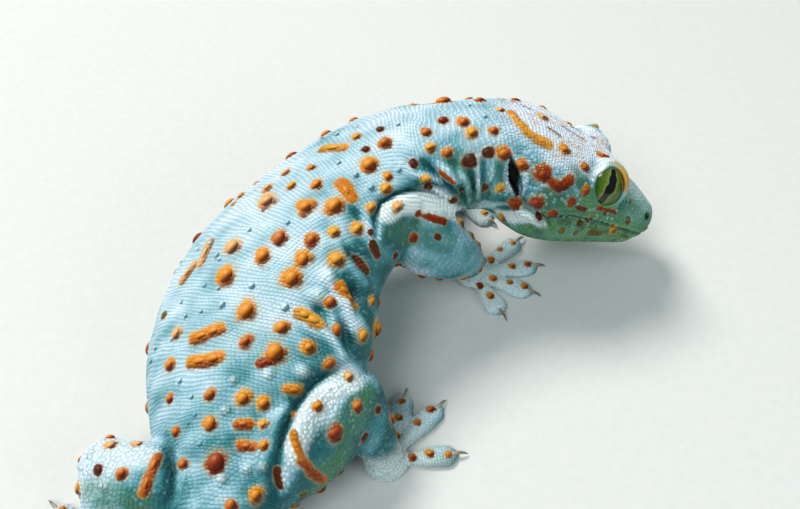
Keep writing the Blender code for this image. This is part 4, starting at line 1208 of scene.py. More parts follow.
def scale_seeds():
    """Root places of all scales: rows round the body, legs, palms and toes, each with its size and map place.
    Kinds are 0 for the head, 1 for neck, trunk and tail, and 2 to 5 for the legs."""
    groups = []
    draw = np.random.default_rng(GRAIN_SEED + 1)

    def add(kind, surface, places, around, along, map_corner, map_size):
        """Adds the scales of one surface, in rows at the places, each along by around mm large."""
        place, turn = seed_rows(surface, places, around)
        loose = (0.24, 0.05, 0.75)[min(kind, 2)]
        place = place + draw.normal(0, loose * 0.5, len(place)) * min(along, np.ptp(places) * 0.01)
        turn = turn + draw.normal(0, loose * 0.05, len(turn))
        if kind == 1:
            wave = sum(height * np.sin(turns * turn + drift * place) for height, turns, drift in ROW_WAVES)
            place = place + wave
        ahead = surface(place - 0.3, turn) - surface(place + 0.3, turn)
        low, high = places.min(), places.max()
        u = map_corner[0] + (place - low) / max(high - low, 1e-6) * map_size[0]
        v = map_corner[1] + turn / (2 * np.pi) * map_size[1]
        groups.append({
            "kind": np.full(len(place), kind), "layer": np.full(len(place), len(groups)),
            "root": surface(place, turn), "ahead": unit(ahead), "map": np.stack([u, v], -1),
            "place": place, "turn": turn,
            "along": np.full(len(place), along), "around": np.full(len(place), around),
        })

    # Head, lid mounds, trunk and tail, then each leg's two parts, palm and toes; the last two values of each
    # are its corner and size on the bake map
    add(0, body_surface, np.arange(0.8, 46.0, 0.68), 0.68, 0.68, (0.005, 0.0), (0.15, 0.6))
    for eye_side in (1, -1):
        _, mound = lid_mound(eye_side, 1, 1)
        corner = (0.06, 0.3 - 0.12 * eye_side)
        add(0, mound, np.arange(0.76, 2.1, 0.56 / LID_RADIUS), 0.6, 0.56, corner, (0.04, 0.1))
        groups[-1]["place"][:] = ON_MOUND
    add(1, body_surface, np.arange(46.4, 150.0, 0.72), 0.88, 0.72, (0.16, 0.0), (0.345, 0.6))
    add(1, body_surface, np.arange(150.4, 294.0, 0.76), 0.84, 0.76, (0.51, 0.0), (0.48, 0.6))
    for index, leg in enumerate(LEGS):
        for part, (joints, swell) in enumerate(upper_lower(leg)):
            first, last = limb_extent(joints)
            surface = lambda p, t: limb_surface(joints, swell, p, t)
            corner = (0.005 + 0.124 * (index * 2 + part), 0.62)
            add(2 + index, surface, np.arange(first + 0.4, last - 0.3, 0.8), 0.78, 0.8, corner, (0.115, 0.13))
        rows, corner = np.arange(0.1, 2.2, 0.7 / FEET[leg][0]), (0.01 + 0.24 * index, 0.89)
        add(2 + index, palm_surface(leg, 1), rows, 0.7, 0.7, corner, (0.1, 0.1))
        for number, (root, heading, length) in enumerate(toes_of(leg)):
            surface = lambda s, t: toe_surface(root, heading, length, s, t)
            corner = (0.005 + 0.0495 * (index * 5 + number), 0.77)
            add(2 + index, surface, np.arange(0.06, 1.0, 0.62 / length), 0.62, 0.62, corner, (0.045, 0.1))
    return {key: np.concatenate([g[key] for g in groups]) for key in groups[0]}


def cell_codes(points, size):
    """One whole number per point for the cell of that size it lies in."""
    cell = np.floor(points / size).astype(np.int64) + 4096
    return (cell[:, 0] * 8192 + cell[:, 1]) * 8192 + cell[:, 2]


def choose_seeds(seeds, nearest, facing, tubercles):
    """Scale roots moved onto the skin, without those buried in it, under a tubercle, or in the eye, ear,
    mouth or nostril, and without a second layer where two rows meet."""
    hidden = how_far(nearest - seeds["root"])
    back, side, up = head_coordinates(nearest)
    on_head = seeds["kind"] == 0
    keep = (hidden < 2.6) & (on_head | (seeds["buried"] < np.where(seeds["kind"] == 1, 0.75, 1.35)))
    keep &= (nearest[:, 2] > 0.25) | (facing[:, 2] > -0.5)
    for eye_side in (1, -1):
        x, y, z = in_eye_frame(nearest, eye_side)
        keep &= ~((z > 0) & (eye_opening(x, y)[0] < 1.14))
        on_mound = np.hypot(np.hypot(x, y), z + LID_SUNK) < LID_RADIUS + 0.3
        from_mound = seeds["place"] == ON_MOUND
        close_by = np.hypot(np.hypot(x, y), z) < 9.0
        keep &= ~(close_by & on_head & (on_mound ^ from_mound)) & ~(close_by & from_mound & (hidden > 0.9))
    keep &= ~((ear_away(back, up) < 1.15) & (np.abs(side) > 9) & on_head)
    keep &= ~((np.abs(mouth_away(back, up)) < 0.42) & on_head & (back < 33))
    keep &= nostril_away(back, side, up) > 1.0
    shallow = np.flatnonzero(keep & ~on_head & (seeds["buried"] > 0.25))
    _, first_in_cell = np.unique(cell_codes(nearest[shallow], 0.68), return_index=True)
    keep[np.delete(shallow, first_in_cell)] = False
    codes = cell_codes(nearest, 0.9)
    for layer in np.unique(seeds["layer"][seeds["kind"] > 1]):
        mine = seeds["layer"] == layer
        taken = keep & (seeds["layer"] < layer)
        keep[mine] &= ~np.isin(codes[mine], codes[taken])
    for place, size in zip(tubercles["root"], tubercles["around"]):
        close = np.flatnonzero(np.abs(nearest - place).max(1) < size)
        keep[close[how_far(nearest[close] - place) < size * 0.8]] = False
    chosen = {key: value[keep] for key, value in seeds.items()}
    chosen["root"], chosen["facing"] = nearest[keep], facing[keep]
    return chosen


def raise_domes(name, seeds, marks, profile, sides, square, seed, kinds=None):
    """Joined domes on closed feet: rings of a profile of (reach, lift) round each root, turned along its row,
    superelliptic where square is over 2. kinds, where given: 0 a spot's tubercle, 1 a blue one."""
    draw = np.random.default_rng(seed)
    count, each = len(seeds["root"]), sides * len(profile) + 1
    root, facing = seeds["root"], seeds["facing"]
    ahead = unit(seeds["ahead"] - facing * (seeds["ahead"] * facing).sum(1)[:, None])
    beside = np.cross(facing, ahead)
    angle = (np.arange(sides) + (0.5 if square > 2 else 0.0)) / sides * 2 * np.pi
    cosine, sine = (np.sign(w) * np.abs(w) ** (2 / square) for w in (np.cos(angle), np.sin(angle)))
    grow = draw.normal(1.0, 0.06, (3, count)).clip(0.84, 1.16)
    long_way = (ahead * (seeds["along"] * grow[0])[:, None])[:, None] * cosine[None, :, None]
    wide_way = (beside * (seeds["around"] * grow[1])[:, None])[:, None] * sine[None, :, None]
    rise = (facing * (seeds["tall"] * grow[2])[:, None])[:, None]
    rings = [root[:, None] + (long_way + wide_way) * reach + rise * lift for reach, lift in profile]
    points = np.concatenate(rings + [root[:, None] + rise], 1)
    points[:, :, 2] = np.maximum(points[:, :, 2], 0.01)
    first = (np.arange(count) * each)[:, None]
    ring = np.arange(sides)
    after, last = (ring + 1) % sides, sides * (len(profile) - 1)
    walls = np.concatenate([
        np.stack([ring, after, after + sides, ring + sides], -1) + sides * k for k in range(len(profile) - 1)
    ])
    crown = np.stack([ring + last, after + last, np.full(sides, each - 1)], -1)
    quads = (first[:, :, None] + walls[None]).reshape(-1, 4)
    caps = (first[:, :, None] + crown[None]).reshape(-1, 3)
    piece = make_mesh(name, points.reshape(-1, 3), [quads, caps, first + ring[::-1]])
    mesh = piece.data
    flat = np.vstack([np.stack([cosine, sine], -1) * reach for reach, _ in profile] + [np.zeros((1, 2))])
    # Each scale is a patch 0.003 across on the bake map
    spread = (seeds["map"][:, None] + flat[None] * 0.0015).reshape(-1, 2)
    layer = mesh.uv_layers.new(name="OFBake")
    corner = read(mesh.loops, "vertex_index", 1, np.int32)
    layer.data.foreach_set("uv", spread[corner].astype(np.float32).reshape(-1))
    if kinds is None:
        first_mark, second_mark, shade = paint_marks(points.reshape(-1, 3), np.repeat(facing, each, 0), marks)
        jitter = np.repeat(draw.normal(0, (0.045, 0.04), (count, 2)), each, 0)
        first_mark[:, :2] += np.where(first_mark[:, :1] > 0.05, jitter, 0.0)
    else:
        first_mark, second_mark, _ = paint_marks(root, facing, marks)
        # Each tubercle gets painted shade on its side away from the light and a painted highlight on the
        # other
        slim = (seeds["around"] / seeds["along"]).clip(0, 1) ** 2
        shade = (ahead @ SHADE_WAY * slim)[:, None] * flat[:, 0] + (beside @ SHADE_WAY)[:, None] * flat[:, 1]
        level = np.r_[np.repeat([lift for _, lift in profile], sides), 1.0]
        shade = 1.7 * (shade + (facing @ SHADE_WAY * seeds["tall"] / seeds["around"])[:, None] * level)
        first_mark[:, 0] = np.where(kinds == 0, np.maximum(first_mark[:, 0], 0.85), 0.0)
        second_mark[:, 3] *= 0.5
        first_mark, second_mark = np.repeat(first_mark, each, 0), np.repeat(second_mark, each, 0)
        # A blue tubercle's blue lies on its side away from the light: its own blue-grey colour with painted
        # shade
        is_blue = np.repeat(kinds, each) == 1
        first_mark[:, 2] = np.where(is_blue, (0.52 + 0.45 * shade.reshape(-1)).clip(0, 0.95), 0.0)
    lift = np.r_[np.repeat([max(lift, 0.0) for _, lift in profile], sides), 1.0]
    store(mesh, "marks", first_mark)
    store(mesh, "tone", second_mark)
    bright = draw.uniform(0, 0.85, count)
    bright = np.where((seeds["tall"] > 0.24) & (sides == 6), 1.0, bright * (0.4 if sides == 12 else 1.0))
    store(mesh, "bead", np.repeat(bright, each))
    store(mesh, "rise", np.tile(lift, count))
    store(mesh, "shade", shade.reshape(-1))
    return piece


# Rings of the three kinds of dome, as (reach, lift), from the sunk foot up
SCALE_PROFILE = ((1.0, -0.35), (0.74, 0.7))
TUBERCLE_PROFILE = ((1.0, -0.12), (0.91, 0.2), (0.77, 0.5), (0.56, 0.77), (0.29, 0.94))
PLATE_PROFILE = ((1.0, -0.4), (0.9, 0.45), (0.62, 0.85))


def tubercle_seeds(skin, seeds, marks):
    """One tubercle on each spot, more along a streak, and the blue and pale ones, moved onto the skin."""
    places, halves, longs, ways, talls, kinds = [], [], [], [], [], []
    draw = np.random.default_rng(GRAIN_SEED + 2)
    for kind, key in enumerate(("spots", "blue")):
        for path, half, _ in marks[key]:
            if half < 0.9 and kind == 0:
                continue
            steps = 0 if len(path) == 1 else len(path) - 1
            for at in np.arange(steps) + 0.5 if steps else (0.0,):
                place = interpolate(np.array([at]), np.arange(len(path)), np.array(path))[0]
                on_face = head_coordinates(place)[0] < 43 and np.linalg.norm(place - SNOUT_TIP) < 60
                size = min(max(half * draw.uniform(0.6, 0.76), 0.45), 1.6) * (0.7 if on_face else 1.0)
                size *= draw.uniform(0.7, 1.0) if steps else 1.0
                reach = np.linalg.norm(path[-1] - path[0]) / steps if steps else 0.0
                places.append(place)
                halves.append(size)
                longs.append(size * draw.uniform(0.95, 1.25) + reach * 0.14)
                ways.append(unit(path[-1] - path[0]) if steps else np.zeros(3))
                talls.append(size * (0.36 if on_face else 0.5))
                kinds.append(kind)
    root, facing = onto(skin, np.array(places))
    halves, talls = np.array(halves), np.array(talls)
    nearest = np.array([np.argmin(((seeds["root"] - place) ** 2).sum(1)) for place in root])
    ways = np.array(ways)
    ahead = np.where(np.abs(ways).max(1)[:, None] > 0, ways, seeds["ahead"][nearest])
    return {
        "root": root, "facing": facing, "ahead": ahead, "map": seeds["map"][nearest],
        "along": np.array(longs), "around": halves, "tall": talls,
    }, np.array(kinds)


def lip_seeds(tree):
    """Roots of the plates over and under the mouth, found by rays at the jaw from the side and the front."""
    rows = []
    for side in (1, -1):
        for lift, length, high in ((0.85, 1.75, 1.15), (-0.95, 1.9, 1.2)):
            for back in np.arange(3.4, 30.5, length):
                lip = float(np.interp(back, MOUTH_LINE[:, 0], MOUTH_LINE[:, 1]))
                start, way = head_point(back, 30.0 * side, lip + lift), -RIGHT * side
                small = 1.0 - 0.35 * float(smoothstep(20.0, 30.0, back))
                on_map = (0.01 + back / 300, 0.3 + 0.02 * lift)
                rows.append((start, way, -FORWARD, length * small, high * small, on_map))
    for lift in (0.85, -0.95):
        for across in (-3.2, -1.15, 1.15, 3.2):
            rows.append((head_point(-12.0, across, -1.9 + lift), -FORWARD, RIGHT, 1.8, 1.15, (0.01, 0.3)))
    found = [(*tree.ray_cast(Vector(start), Vector(way))[:2], *rest) for start, way, *rest in rows]
    root, facing, ahead, along, around, on_map = (
        np.array(column) for column in zip(*[row for row in found if row[0] is not None])
    )
    return {
        "root": root, "facing": unit(facing), "ahead": ahead, "along": along * 0.49, "around": around * 0.49,
        "tall": np.full(len(root), 0.3), "map": on_map,
    }


# Eyes and lids
def on_eyeball(px, py):
    """Where the sight through a pixel meets the right eyeball, in that eye's own frame."""
    centre = eye_frame(1)[0]
    way = sight(px, py)
    along = way @ (centre - CAMERA_PLACE)
    miss = CAMERA_PLACE + way * along - centre
    depth = math.sqrt(max(EYE_RADIUS**2 - miss @ miss, 0.0))
    return np.array(in_eye_frame(CAMERA_PLACE + way * (along - depth), 1))


# The pupil's slit in the photograph, from its upper end to its lower one
PUPIL_PIXELS = (
    (613.5, 171.0), (613.5, 177.0), (612.0, 186.0), (607.0, 193.5), (600.5, 202.0), (599.0, 206.0),
)


def make_eye(name, side):
    """An eyeball as a grid of a sphere with a slightly raised cornea. Each point keeps its place in the eye's
    frame, and how far it lies outside the wavy slit of the pupil."""
    centre, look, onward, top = eye_frame(side)
    rows, columns = 130, 150
    polar = np.linspace(0.02, math.pi - 0.02, rows)
    turn = np.arange(columns) / columns * 2 * np.pi
    p, t = np.repeat(polar, columns), np.tile(turn, rows)
    local = np.stack([np.sin(p) * np.cos(t), np.sin(p) * np.sin(t), -np.cos(p)], -1)
    local = np.vstack([local, [0, 0, -1.0], [0, 0, 1.0]])
    radius = EYE_RADIUS + 0.12 * smoothstep(0.75, 1.0, local[:, 2])
    local = local * radius[:, None]
    points = centre + local @ np.stack([onward, top, look])
    _, quads, caps = closed_grid(points[:-2], rows, columns, points[-2], points[-1])
    if np.cross(onward, top) @ look < 0:
        quads, caps = quads[:, ::-1], caps[:, ::-1]
    ball = make_mesh(name, points, [quads, caps])
    slit = np.array([on_eyeball(px, py) for px, py in PUPIL_PIXELS])
    away, along = path_distance(local, slit)
    middle = np.clip(1 - np.abs(along - 0.42) / 0.6, 0.0, 1.0)
    half = 0.13 + 0.8 * middle**0.8 * (1 + 0.16 * np.cos(along * 2 * np.pi * 4.0))
    store(ball.data, "eye_place", local)
    store(ball.data, "slit", away - half)
    return ball


def make_lid(name, side):
    """The lids' thick edge: a closed tube of rippled circles that follows the eye's opening over the ball,
    thickest at the brow."""
    centre, look, onward, top = eye_frame(side)
    rows, columns = 160, 20
    angle = np.arange(rows) / rows * 2 * np.pi
    degrees_from = lambda middle: (np.degrees(angle) - middle + 180) % 360 - 180
    edge = smooth_between(EYE_OPENING[:, 0], EYE_OPENING[:, 1], degrees_from(0))[:, 0]
    brow, rear = np.exp(-((degrees_from(62) / 50) ** 2)), np.exp(-((degrees_from(140) / 34) ** 2))
    thick = 0.34 + 0.5 * brow + 0.16 * rear
    rho = edge + thick * 0.72
    shell = EYE_RADIUS + 0.12 + 0.5 * brow
    tall = np.sqrt(np.maximum(shell**2 - rho**2, 0.3))
    line = np.stack([rho * np.cos(angle), rho * np.sin(angle), tall], -1)
    away = unit(line)
    along = unit(np.roll(line, -1, 0) - np.roll(line, 1, 0))
    across = np.cross(along, away)
    turn = np.arange(columns) / columns * 2 * np.pi
    ripple = 1 + 0.1 * np.sin(angle * 44)[:, None, None] * np.clip(np.cos(turn - 0.6), 0, 1)[None, :, None]
    local = line[:, None] + (
        away[:, None] * np.cos(turn)[None, :, None] + across[:, None] * np.sin(turn)[None, :, None]
    ) * thick[:, None, None] * ripple
    local = local.reshape(-1, 3)
    to_place = np.stack([onward, top, look])
    points = centre + local @ to_place
    index = np.arange(rows * columns).reshape(rows, columns)
    right = np.roll(index, -1, 1)
    quads = np.stack([index, right, np.roll(right, -1, 0), np.roll(index, -1, 0)], -1).reshape(-1, 4)
    corners = points[quads[0]]
    normal = np.cross(corners[1] - corners[0], corners[2] - corners[0])
    if normal @ (corners.mean(0) - (centre + line[0] @ to_place)) < 0:
        quads = quads[:, ::-1]
    piece = make_mesh(name, points, [quads])
    inner = np.tile(smoothstep(0.84, 1.0, -np.sin(turn)), rows)
    brow, rear = np.repeat(brow, columns), np.repeat(rear, columns)
    outer = np.tile(smoothstep(-0.1, 0.9, np.sin(turn)), rows)
    lower = np.repeat(np.clip(-np.sin(angle), 0, 1), columns)
    strength = 0.52 * np.clip(2.2 * brow + 0.5 * lower, 0, 1) * (1 - 0.9 * rear)
    hue = np.where(brow > 0.25, 0.27, 1.0)
    # The tube's inner side, most under the brow, is painted darker as painted shade, and its outer side
    # lighter as a painted highlight
    dark = inner * (0.25 + 0.6 * brow)
    store(piece.data, "marks", np.stack([strength, hue, np.zeros_like(hue), dark], -1))
    green, pale = np.clip(lower + brow, 0, 1), np.clip(rear - brow, 0, 1)
    store(piece.data, "tone", np.stack([np.full_like(hue, 0.5), green, np.zeros_like(hue), pale], -1))
    store(piece.data, "shade", 0.5 * inner - 0.3 * outer)
    store(piece.data, "bead", np.full(len(points), 0.5))
    store(piece.data, "rise", np.full(len(points), 0.7))
    return piece


def make_claws():
    """Twenty small hooked claws: a circle, taller than wide, that narrows along an arc past each toe."""
    shells = []
    rows, columns = 12, 10
    share = np.linspace(0.0, 0.97, rows)
    height = smooth_between((0.0, 0.45, 0.75, 1.0), (1.2, 1.42, 1.12, 0.42), share)[:, 0]
    size = (CLAW_RADIUS * (1 - share**1.6) + 0.05)[:, None]
    turn = np.arange(columns)[None] / columns * 2 * np.pi
    across, rise = np.cos(turn) * size * 0.8, height[:, None] + np.sin(turn) * size
    for leg in LEGS:
        for root, heading, length in toes_of(leg):
            ahead, side = heading_way(heading)
            place = length - CLAW_SUNK + (CLAW_LENGTH + CLAW_SUNK) * share
            grid = root + ahead * place[:, None, None] + side * across[..., None]
            grid[..., 2] += rise
            start = root + [0, 0, 1.15] + ahead * (length - CLAW_SUNK - 0.2)
            end = root + [0, 0, 0.36] + ahead * (length + CLAW_LENGTH)
            shells.append(closed_grid(grid.reshape(-1, 3), rows, columns, start, end))
    points, quads, caps = joined(shells)
    points[:, 2] = np.maximum(points[:, 2], 0.02)
    if outward_volume(points, quads) < 0:
        quads, caps = quads[:, ::-1], caps[:, ::-1]
    claws = make_mesh("claws", points, [quads, caps])
    store(claws.data, "tip", np.tile(np.r_[np.repeat(share, columns), 0.0, 1.0], len(shells)))
    return claws


def outward_volume(points, quads):
    """Positive where the quads' own turning faces away from the shape's middle."""
    a, b, c = points[quads[:, 0]], points[quads[:, 1]], points[quads[:, 2]]
    middle = points[quads].mean(1)
    return float((np.cross(b - a, c - a) * (middle - points.mean(0))).sum())


# Materials
def new_material(name):
    """A material and its node tree, which is empty."""
    material = bpy.data.materials.new(name)
    material.use_nodes = True
    material.node_tree.nodes.clear()
    return material, material.node_tree


def gecko_paint(name, is_skin):
    """Living reptile skin: keratin granules over soft skin, matt to satin. The markings come from the point
    colours, so scales and skin between them agree."""
    material, tree = new_material(name)
    mark, tone, bead, rise, shade = (
        add_node(tree, "ShaderNodeAttribute", attribute_name=field)
        for field in ("marks", "tone", "bead", "rise", "shade")
    )
    strength, hue, blue = add_node(tree, "ShaderNodeSeparateColor", ((0, out(mark, "Color")),)).outputs
    teal_and_shade, green, lavender = add_node(tree, "ShaderNodeSeparateColor", ((0, out(tone, "Color")),)).outputs
    place = out(add_node(tree, "ShaderNodeTexCoord"), "Object")
    # Clouds of colour about 4 mm across: 250 to the metre
    cloud = add_node(tree, "ShaderNodeTexNoise", (("Vector", place), ("Scale", 250.0), ("Detail", 3.0)))
    # Grain about 0.35 mm across, finer than one scale
    grain = add_node(tree, "ShaderNodeTexNoise", (("Vector", place), ("Scale", 2800.0), ("Detail", 2.0)))
    grain = out(grain, "Fac")
    uneven = add_node(
        tree, "ShaderNodeMath", ((0, out(cloud, "Fac")), (1, 0.6), (2, -0.3)), operation="MULTIPLY_ADD",
    )
    teal_and_shade = add_node(tree, "ShaderNodeMath", ((0, teal_and_shade), (1, out(uneven))), operation="ADD", use_clamp=True)
    # The ground runs from pale blue to dark teal: the skin's own teal, darkened as painted shade
    ground = add_node(
        tree, "ShaderNodeValToRGB", ((0, out(teal_and_shade)),),
        ((0.0, "#D2E3EE"), (0.3, "#B3D2DD"), (0.55, "#7FB0BC"), (0.8, "#3C8288"), (1.0, "#1B5A5C")),
    )
    # A spot is yellower towards its rim, and its granules differ a little
    rim = add_node(tree, "ShaderNodeMapRange", ((0, strength), (1, 0.78), (2, 0.5), (3, 0.0), (4, -0.1)))
    own = add_node(tree, "ShaderNodeMath", ((0, grain), (1, 0.2), (2, -0.1)), operation="MULTIPLY_ADD")
    turned = add_node(tree, "ShaderNodeMath", ((0, hue), (1, out(rim))), operation="ADD")
    turned = add_node(
        tree, "ShaderNodeMath", ((0, out(turned)), (1, out(own))), operation="ADD", use_clamp=True,
    )
    spot_colours = ("#DCA871", "#D29320", "#CB7413", "#A74C0D", "#872404", "#3A1F08", "#6A611A")
    hues = add_node(
        tree, "ShaderNodeValToRGB", ((0, out(turned)),),
        [(index / 6, colour) for index, colour in enumerate(spot_colours)],
    )
    ragged = add_node(tree, "ShaderNodeMath", ((0, grain), (1, 0.1), (2, -0.05)), operation="MULTIPLY_ADD")
    spot = out(add_node(tree, "ShaderNodeMath", ((0, strength), (1, out(ragged))), operation="ADD"))
    fleck = add_node(
        tree, "ShaderNodeMath", ((0, out(ragged)), (1, 3.0), (2, blue)), operation="MULTIPLY_ADD",
    )
    # How much of each layer shows: what it follows, where that starts and ends, and the most of it
    # foot darkens each scale towards its foot and the skin between the scales as painted shade; rear and
    # front give the spots painted shade and a painted highlight
    amount = {}
    for layer, source, low, high, most in (
        ("halo", spot, 0.14, 0.5, 0.34), ("spot", spot, 0.36, 0.6, 1.0),
        ("blue", out(fleck), 0.42, 0.7, 0.78), ("warm", hue, 0.8, 0.4, 1.0),
        ("bead", out(bead, "Fac"), 0.6, 1.0, 0.22), ("foot", out(rise, "Fac"), 0.62, 0.0, 0.42),
        ("rear", out(shade, "Fac"), -0.2, 0.85, 0.92), ("front", out(shade, "Fac"), 0.1, -0.9, 0.42),
    ):
        amount[layer] = out(add_node(
            tree, "ShaderNodeMapRange", ((0, source), (1, low), (2, high), (3, 0.0), (4, most)),
            interpolation_type="SMOOTHSTEP",
        ))
    # Feet of scales are less dark on the crown, and halos weaker on the jaw's green
    low = add_node(tree, "ShaderNodeMath", ((0, lavender), (1, -0.65), (2, 1.0)), operation="MULTIPLY_ADD")
    thin = add_node(tree, "ShaderNodeMath", ((0, green), (1, -0.85), (2, 1.0)), operation="MULTIPLY_ADD")
    for layer, weaker in (("front", amount["warm"]), ("foot", out(low)), ("halo", out(thin))):
        links = ((0, amount[layer]), (1, weaker))
        amount[layer] = out(add_node(tree, "ShaderNodeMath", links, operation="MULTIPLY"))
    # Tan clouds about 2 mm across on the crown: 450 to the metre
    tan = add_node(tree, "ShaderNodeTexNoise", (("Vector", place), ("Scale", 450.0), ("Detail", 2.0)))
    tan = add_node(
        tree, "ShaderNodeMapRange", ((0, out(tan, "Fac")), (1, 0.48), (2, 0.62), (3, 0.0), (4, 0.75)),
    )
    # Each ground and the colours that cover it in turn: a spot runs from a yellower front edge, a painted
    # highlight, to a darker rear one, painted shade, and the body's colours take in those of the crown and
    # the spots. The near-black is the dark marks and painted shade in grooves, holes and creases.
    paint = {}
    for part, under, covers in (
        ("crown", opaque("#D9E3EE"), ((out(tan), "#D2C2B8"),)),
        ("spots", out(hues), ((amount["front"], "#E8AE48"), (amount["rear"], "#561A02"))),
        ("body", out(ground), (
            (green, "#5B8A4B"), (lavender, "crown"), (out(tone, "Alpha"), "#EEF8F6"),
            (amount["bead"], "#C8E6F5"), (amount["blue"], "#2C6674"), (amount["foot"], "#3B7284"),
            (amount["halo"], "#C9B27C"), (amount["spot"], "spots"), (out(mark, "Alpha"), "#0C0A09"),
        )),
    ):
        for share, colour in covers:
            over = paint[colour] if colour in paint else opaque(colour)
            mix = add_node(tree, "ShaderNodeMix", ((0, share), (6, under), (7, over)), data_type="RGBA")
            under = out(mix, 2)
        paint[part] = under
    # Pores and fine wrinkles of the skin, about 0.5 mm apart: 1900 to the metre
    pores = add_node(tree, "ShaderNodeTexVoronoi", (("Vector", place), ("Scale", 1900.0)))
    rough, dents = (0.55, 0.5) if is_skin else (0.42, 0.12)
    bump = add_node(
        tree, "ShaderNodeBump",
        (("Height", out(pores, "Distance")), ("Strength", dents), ("Distance", 0.00012)),
    )
    shader = add_node(tree, "ShaderNodeBsdfPrincipled", (
        ("Base Color", paint["body"]), ("Roughness", rough), ("IOR", 1.5), ("Specular IOR Level", 0.3),
        ("Subsurface Weight", 0.06), ("Subsurface Radius", (1.0, 0.6, 0.4)), ("Subsurface Scale", 0.0008),
        ("Normal", out(bump)),
    ))
    add_node(tree, "ShaderNodeOutputMaterial", ((0, out(shader)),))
    return material


def eye_gloss():
    """A wet cornea over an iris of olive threads: clear, sharp gloss, the pupil a ragged near-black slit."""
    material, tree = new_material("wet_eye")
    place = add_node(tree, "ShaderNodeAttribute", attribute_name="eye_place")
    slit = out(add_node(tree, "ShaderNodeAttribute", attribute_name="slit"), "Fac")
    # Threads about 0.3 mm apart that run down the iris, so they are drawn out along the eye's height
    long_way = add_node(tree, "ShaderNodeMapping", ((0, out(place, "Vector")), (3, (3.4, 1.1, 1.1))))
    threads = out(add_node(tree, "ShaderNodeTexNoise", (
        ("Vector", out(long_way)), ("Scale", 1.5), ("Detail", 6.0), ("Roughness", 0.7), ("Distortion", 1.1),
    )), "Fac")
    bent = add_node(tree, "ShaderNodeMath", ((0, threads), (1, 0.9), (2, -0.45)), operation="MULTIPLY_ADD")
    away = add_node(tree, "ShaderNodeMath", ((0, slit), (1, out(bent))), operation="ADD")
    fade = add_node(tree, "ShaderNodeMapRange", ((0, out(away)), (1, -0.2), (2, 3.8), (3, 0.0), (4, 1.0)))
    iris = out(add_node(tree, "ShaderNodeValToRGB", ((0, out(fade)),), (
        (0.0, "#868A50"), (0.1, "#667A32"), (0.26, "#425F16"),
        (0.5, "#2D4A0A"), (0.78, "#1B3206"), (1.0, "#0B1505"),
    )))
    # Dark veins along the threads, then the pupil
    for source, low, high, most, colour in (
        (threads, 0.52, 0.66, 0.7, "#39481F"), (slit, 0.1, -0.03, 1.0, "#050708"),
    ):
        share = add_node(
            tree, "ShaderNodeMapRange", ((0, source), (1, low), (2, high), (3, 0.0), (4, most)),
        )
        links = ((0, out(share)), (6, iris), (7, opaque(colour)))
        iris = out(add_node(tree, "ShaderNodeMix", links, data_type="RGBA"), 2)
    shader = add_node(tree, "ShaderNodeBsdfPrincipled", (
        ("Base Color", iris), ("Roughness", 0.2), ("IOR", 1.38),
        ("Coat Weight", 0.35), ("Coat Roughness", 0.03),
    ))
    add_node(tree, "ShaderNodeOutputMaterial", ((0, out(shader)),))
    return material


def claw_horn():
    """Keratin claw: smooth translucent horn, pale at the root and dark brown at the tip."""
    material, tree = new_material("claw_horn")
    tip = add_node(tree, "ShaderNodeAttribute", attribute_name="tip")
    place = add_node(tree, "ShaderNodeTexCoord")
    # Growth lines about 0.2 mm apart
    lines = add_node(tree, "ShaderNodeTexNoise", (("Vector", out(place, "Object")), ("Scale", 5000.0)))
    links = ((0, out(lines, "Fac")), (1, 0.2), (2, out(tip, "Fac")))
    worn = add_node(tree, "ShaderNodeMath", links, operation="MULTIPLY_ADD")
    horn = add_node(tree, "ShaderNodeValToRGB", ((0, out(worn)),), ((0.0, "#B9AE97"), (1.0, "#3A2C20")))
    links = (("Base Color", out(horn)), ("Roughness", 0.3), ("IOR", 1.55))
    shader = add_node(tree, "ShaderNodeBsdfPrincipled", links)
    add_node(tree, "ShaderNodeOutputMaterial", ((0, out(shader)),))
    return material


def studio_paper():
    """Matt pale paper for the floor, with a faint fibre mottle 2 mm across: 500 to the metre."""
    material, tree = new_material("studio_paper")
    place = out(add_node(tree, "ShaderNodeTexCoord"), "Object")
    fibre = add_node(tree, "ShaderNodeTexNoise", (("Vector", place), ("Scale", 500.0), ("Detail", 4.0)))
    stops = ((0.0, "#CED2D0"), (1.0, "#DADCD9"))
    mottle = add_node(tree, "ShaderNodeValToRGB", ((0, out(fibre, "Fac")),), stops)
    shader = add_node(tree, "ShaderNodeBsdfPrincipled", (("Base Color", out(mottle)), ("Roughness", 0.9)))
    add_node(tree, "ShaderNodeOutputMaterial", ((0, out(shader)),))
    return material


# The skin and its markings, which are found once for the sculpting and again on what it leaves
skin = draw_skin()
tree = surface_tree(skin)
hidden = rule_spots(tree, photo_spots(tree))
refine_skin(skin, find_marks(tree, hidden)["folds"])
all_seeds = scale_seeds()
unsculpted, _ = onto(skin, all_seeds["root"])
all_seeds["buried"] = how_far(unsculpted - all_seeds["root"])
new_points = sculpted(skin, find_marks(tree, hidden))
store(skin.data, "new_place", (new_points - BASE_MIDDLE) * MM)
carried, _ = onto(skin, all_seeds["root"], "new_place")
all_seeds["root"] = np.where((all_seeds["kind"] > 0)[:, None], carried, all_seeds["root"])
skin.data.attributes.remove(skin.data.attributes["new_place"])
write_points(skin.data, new_points)
tree = surface_tree(skin)
marks = find_marks(tree, hidden)
skin_points, skin_normals = read_points(skin.data), read_normals(skin.data)
first_mark, second_mark, shade = paint_marks(skin_points, skin_normals, marks)
store(skin.data, "marks", first_mark)
store(skin.data, "tone", second_mark)
store(skin.data, "bead", np.full(len(skin_points), 0.4))
# The skin counts as low on a scale, so it takes the same painted shade as the scales' feet
store(skin.data, "rise", np.full(len(skin_points), 0.2))
store(skin.data, "shade", shade)
skin.data.polygons.foreach_set("use_smooth", np.ones(len(skin.data.polygons), bool))

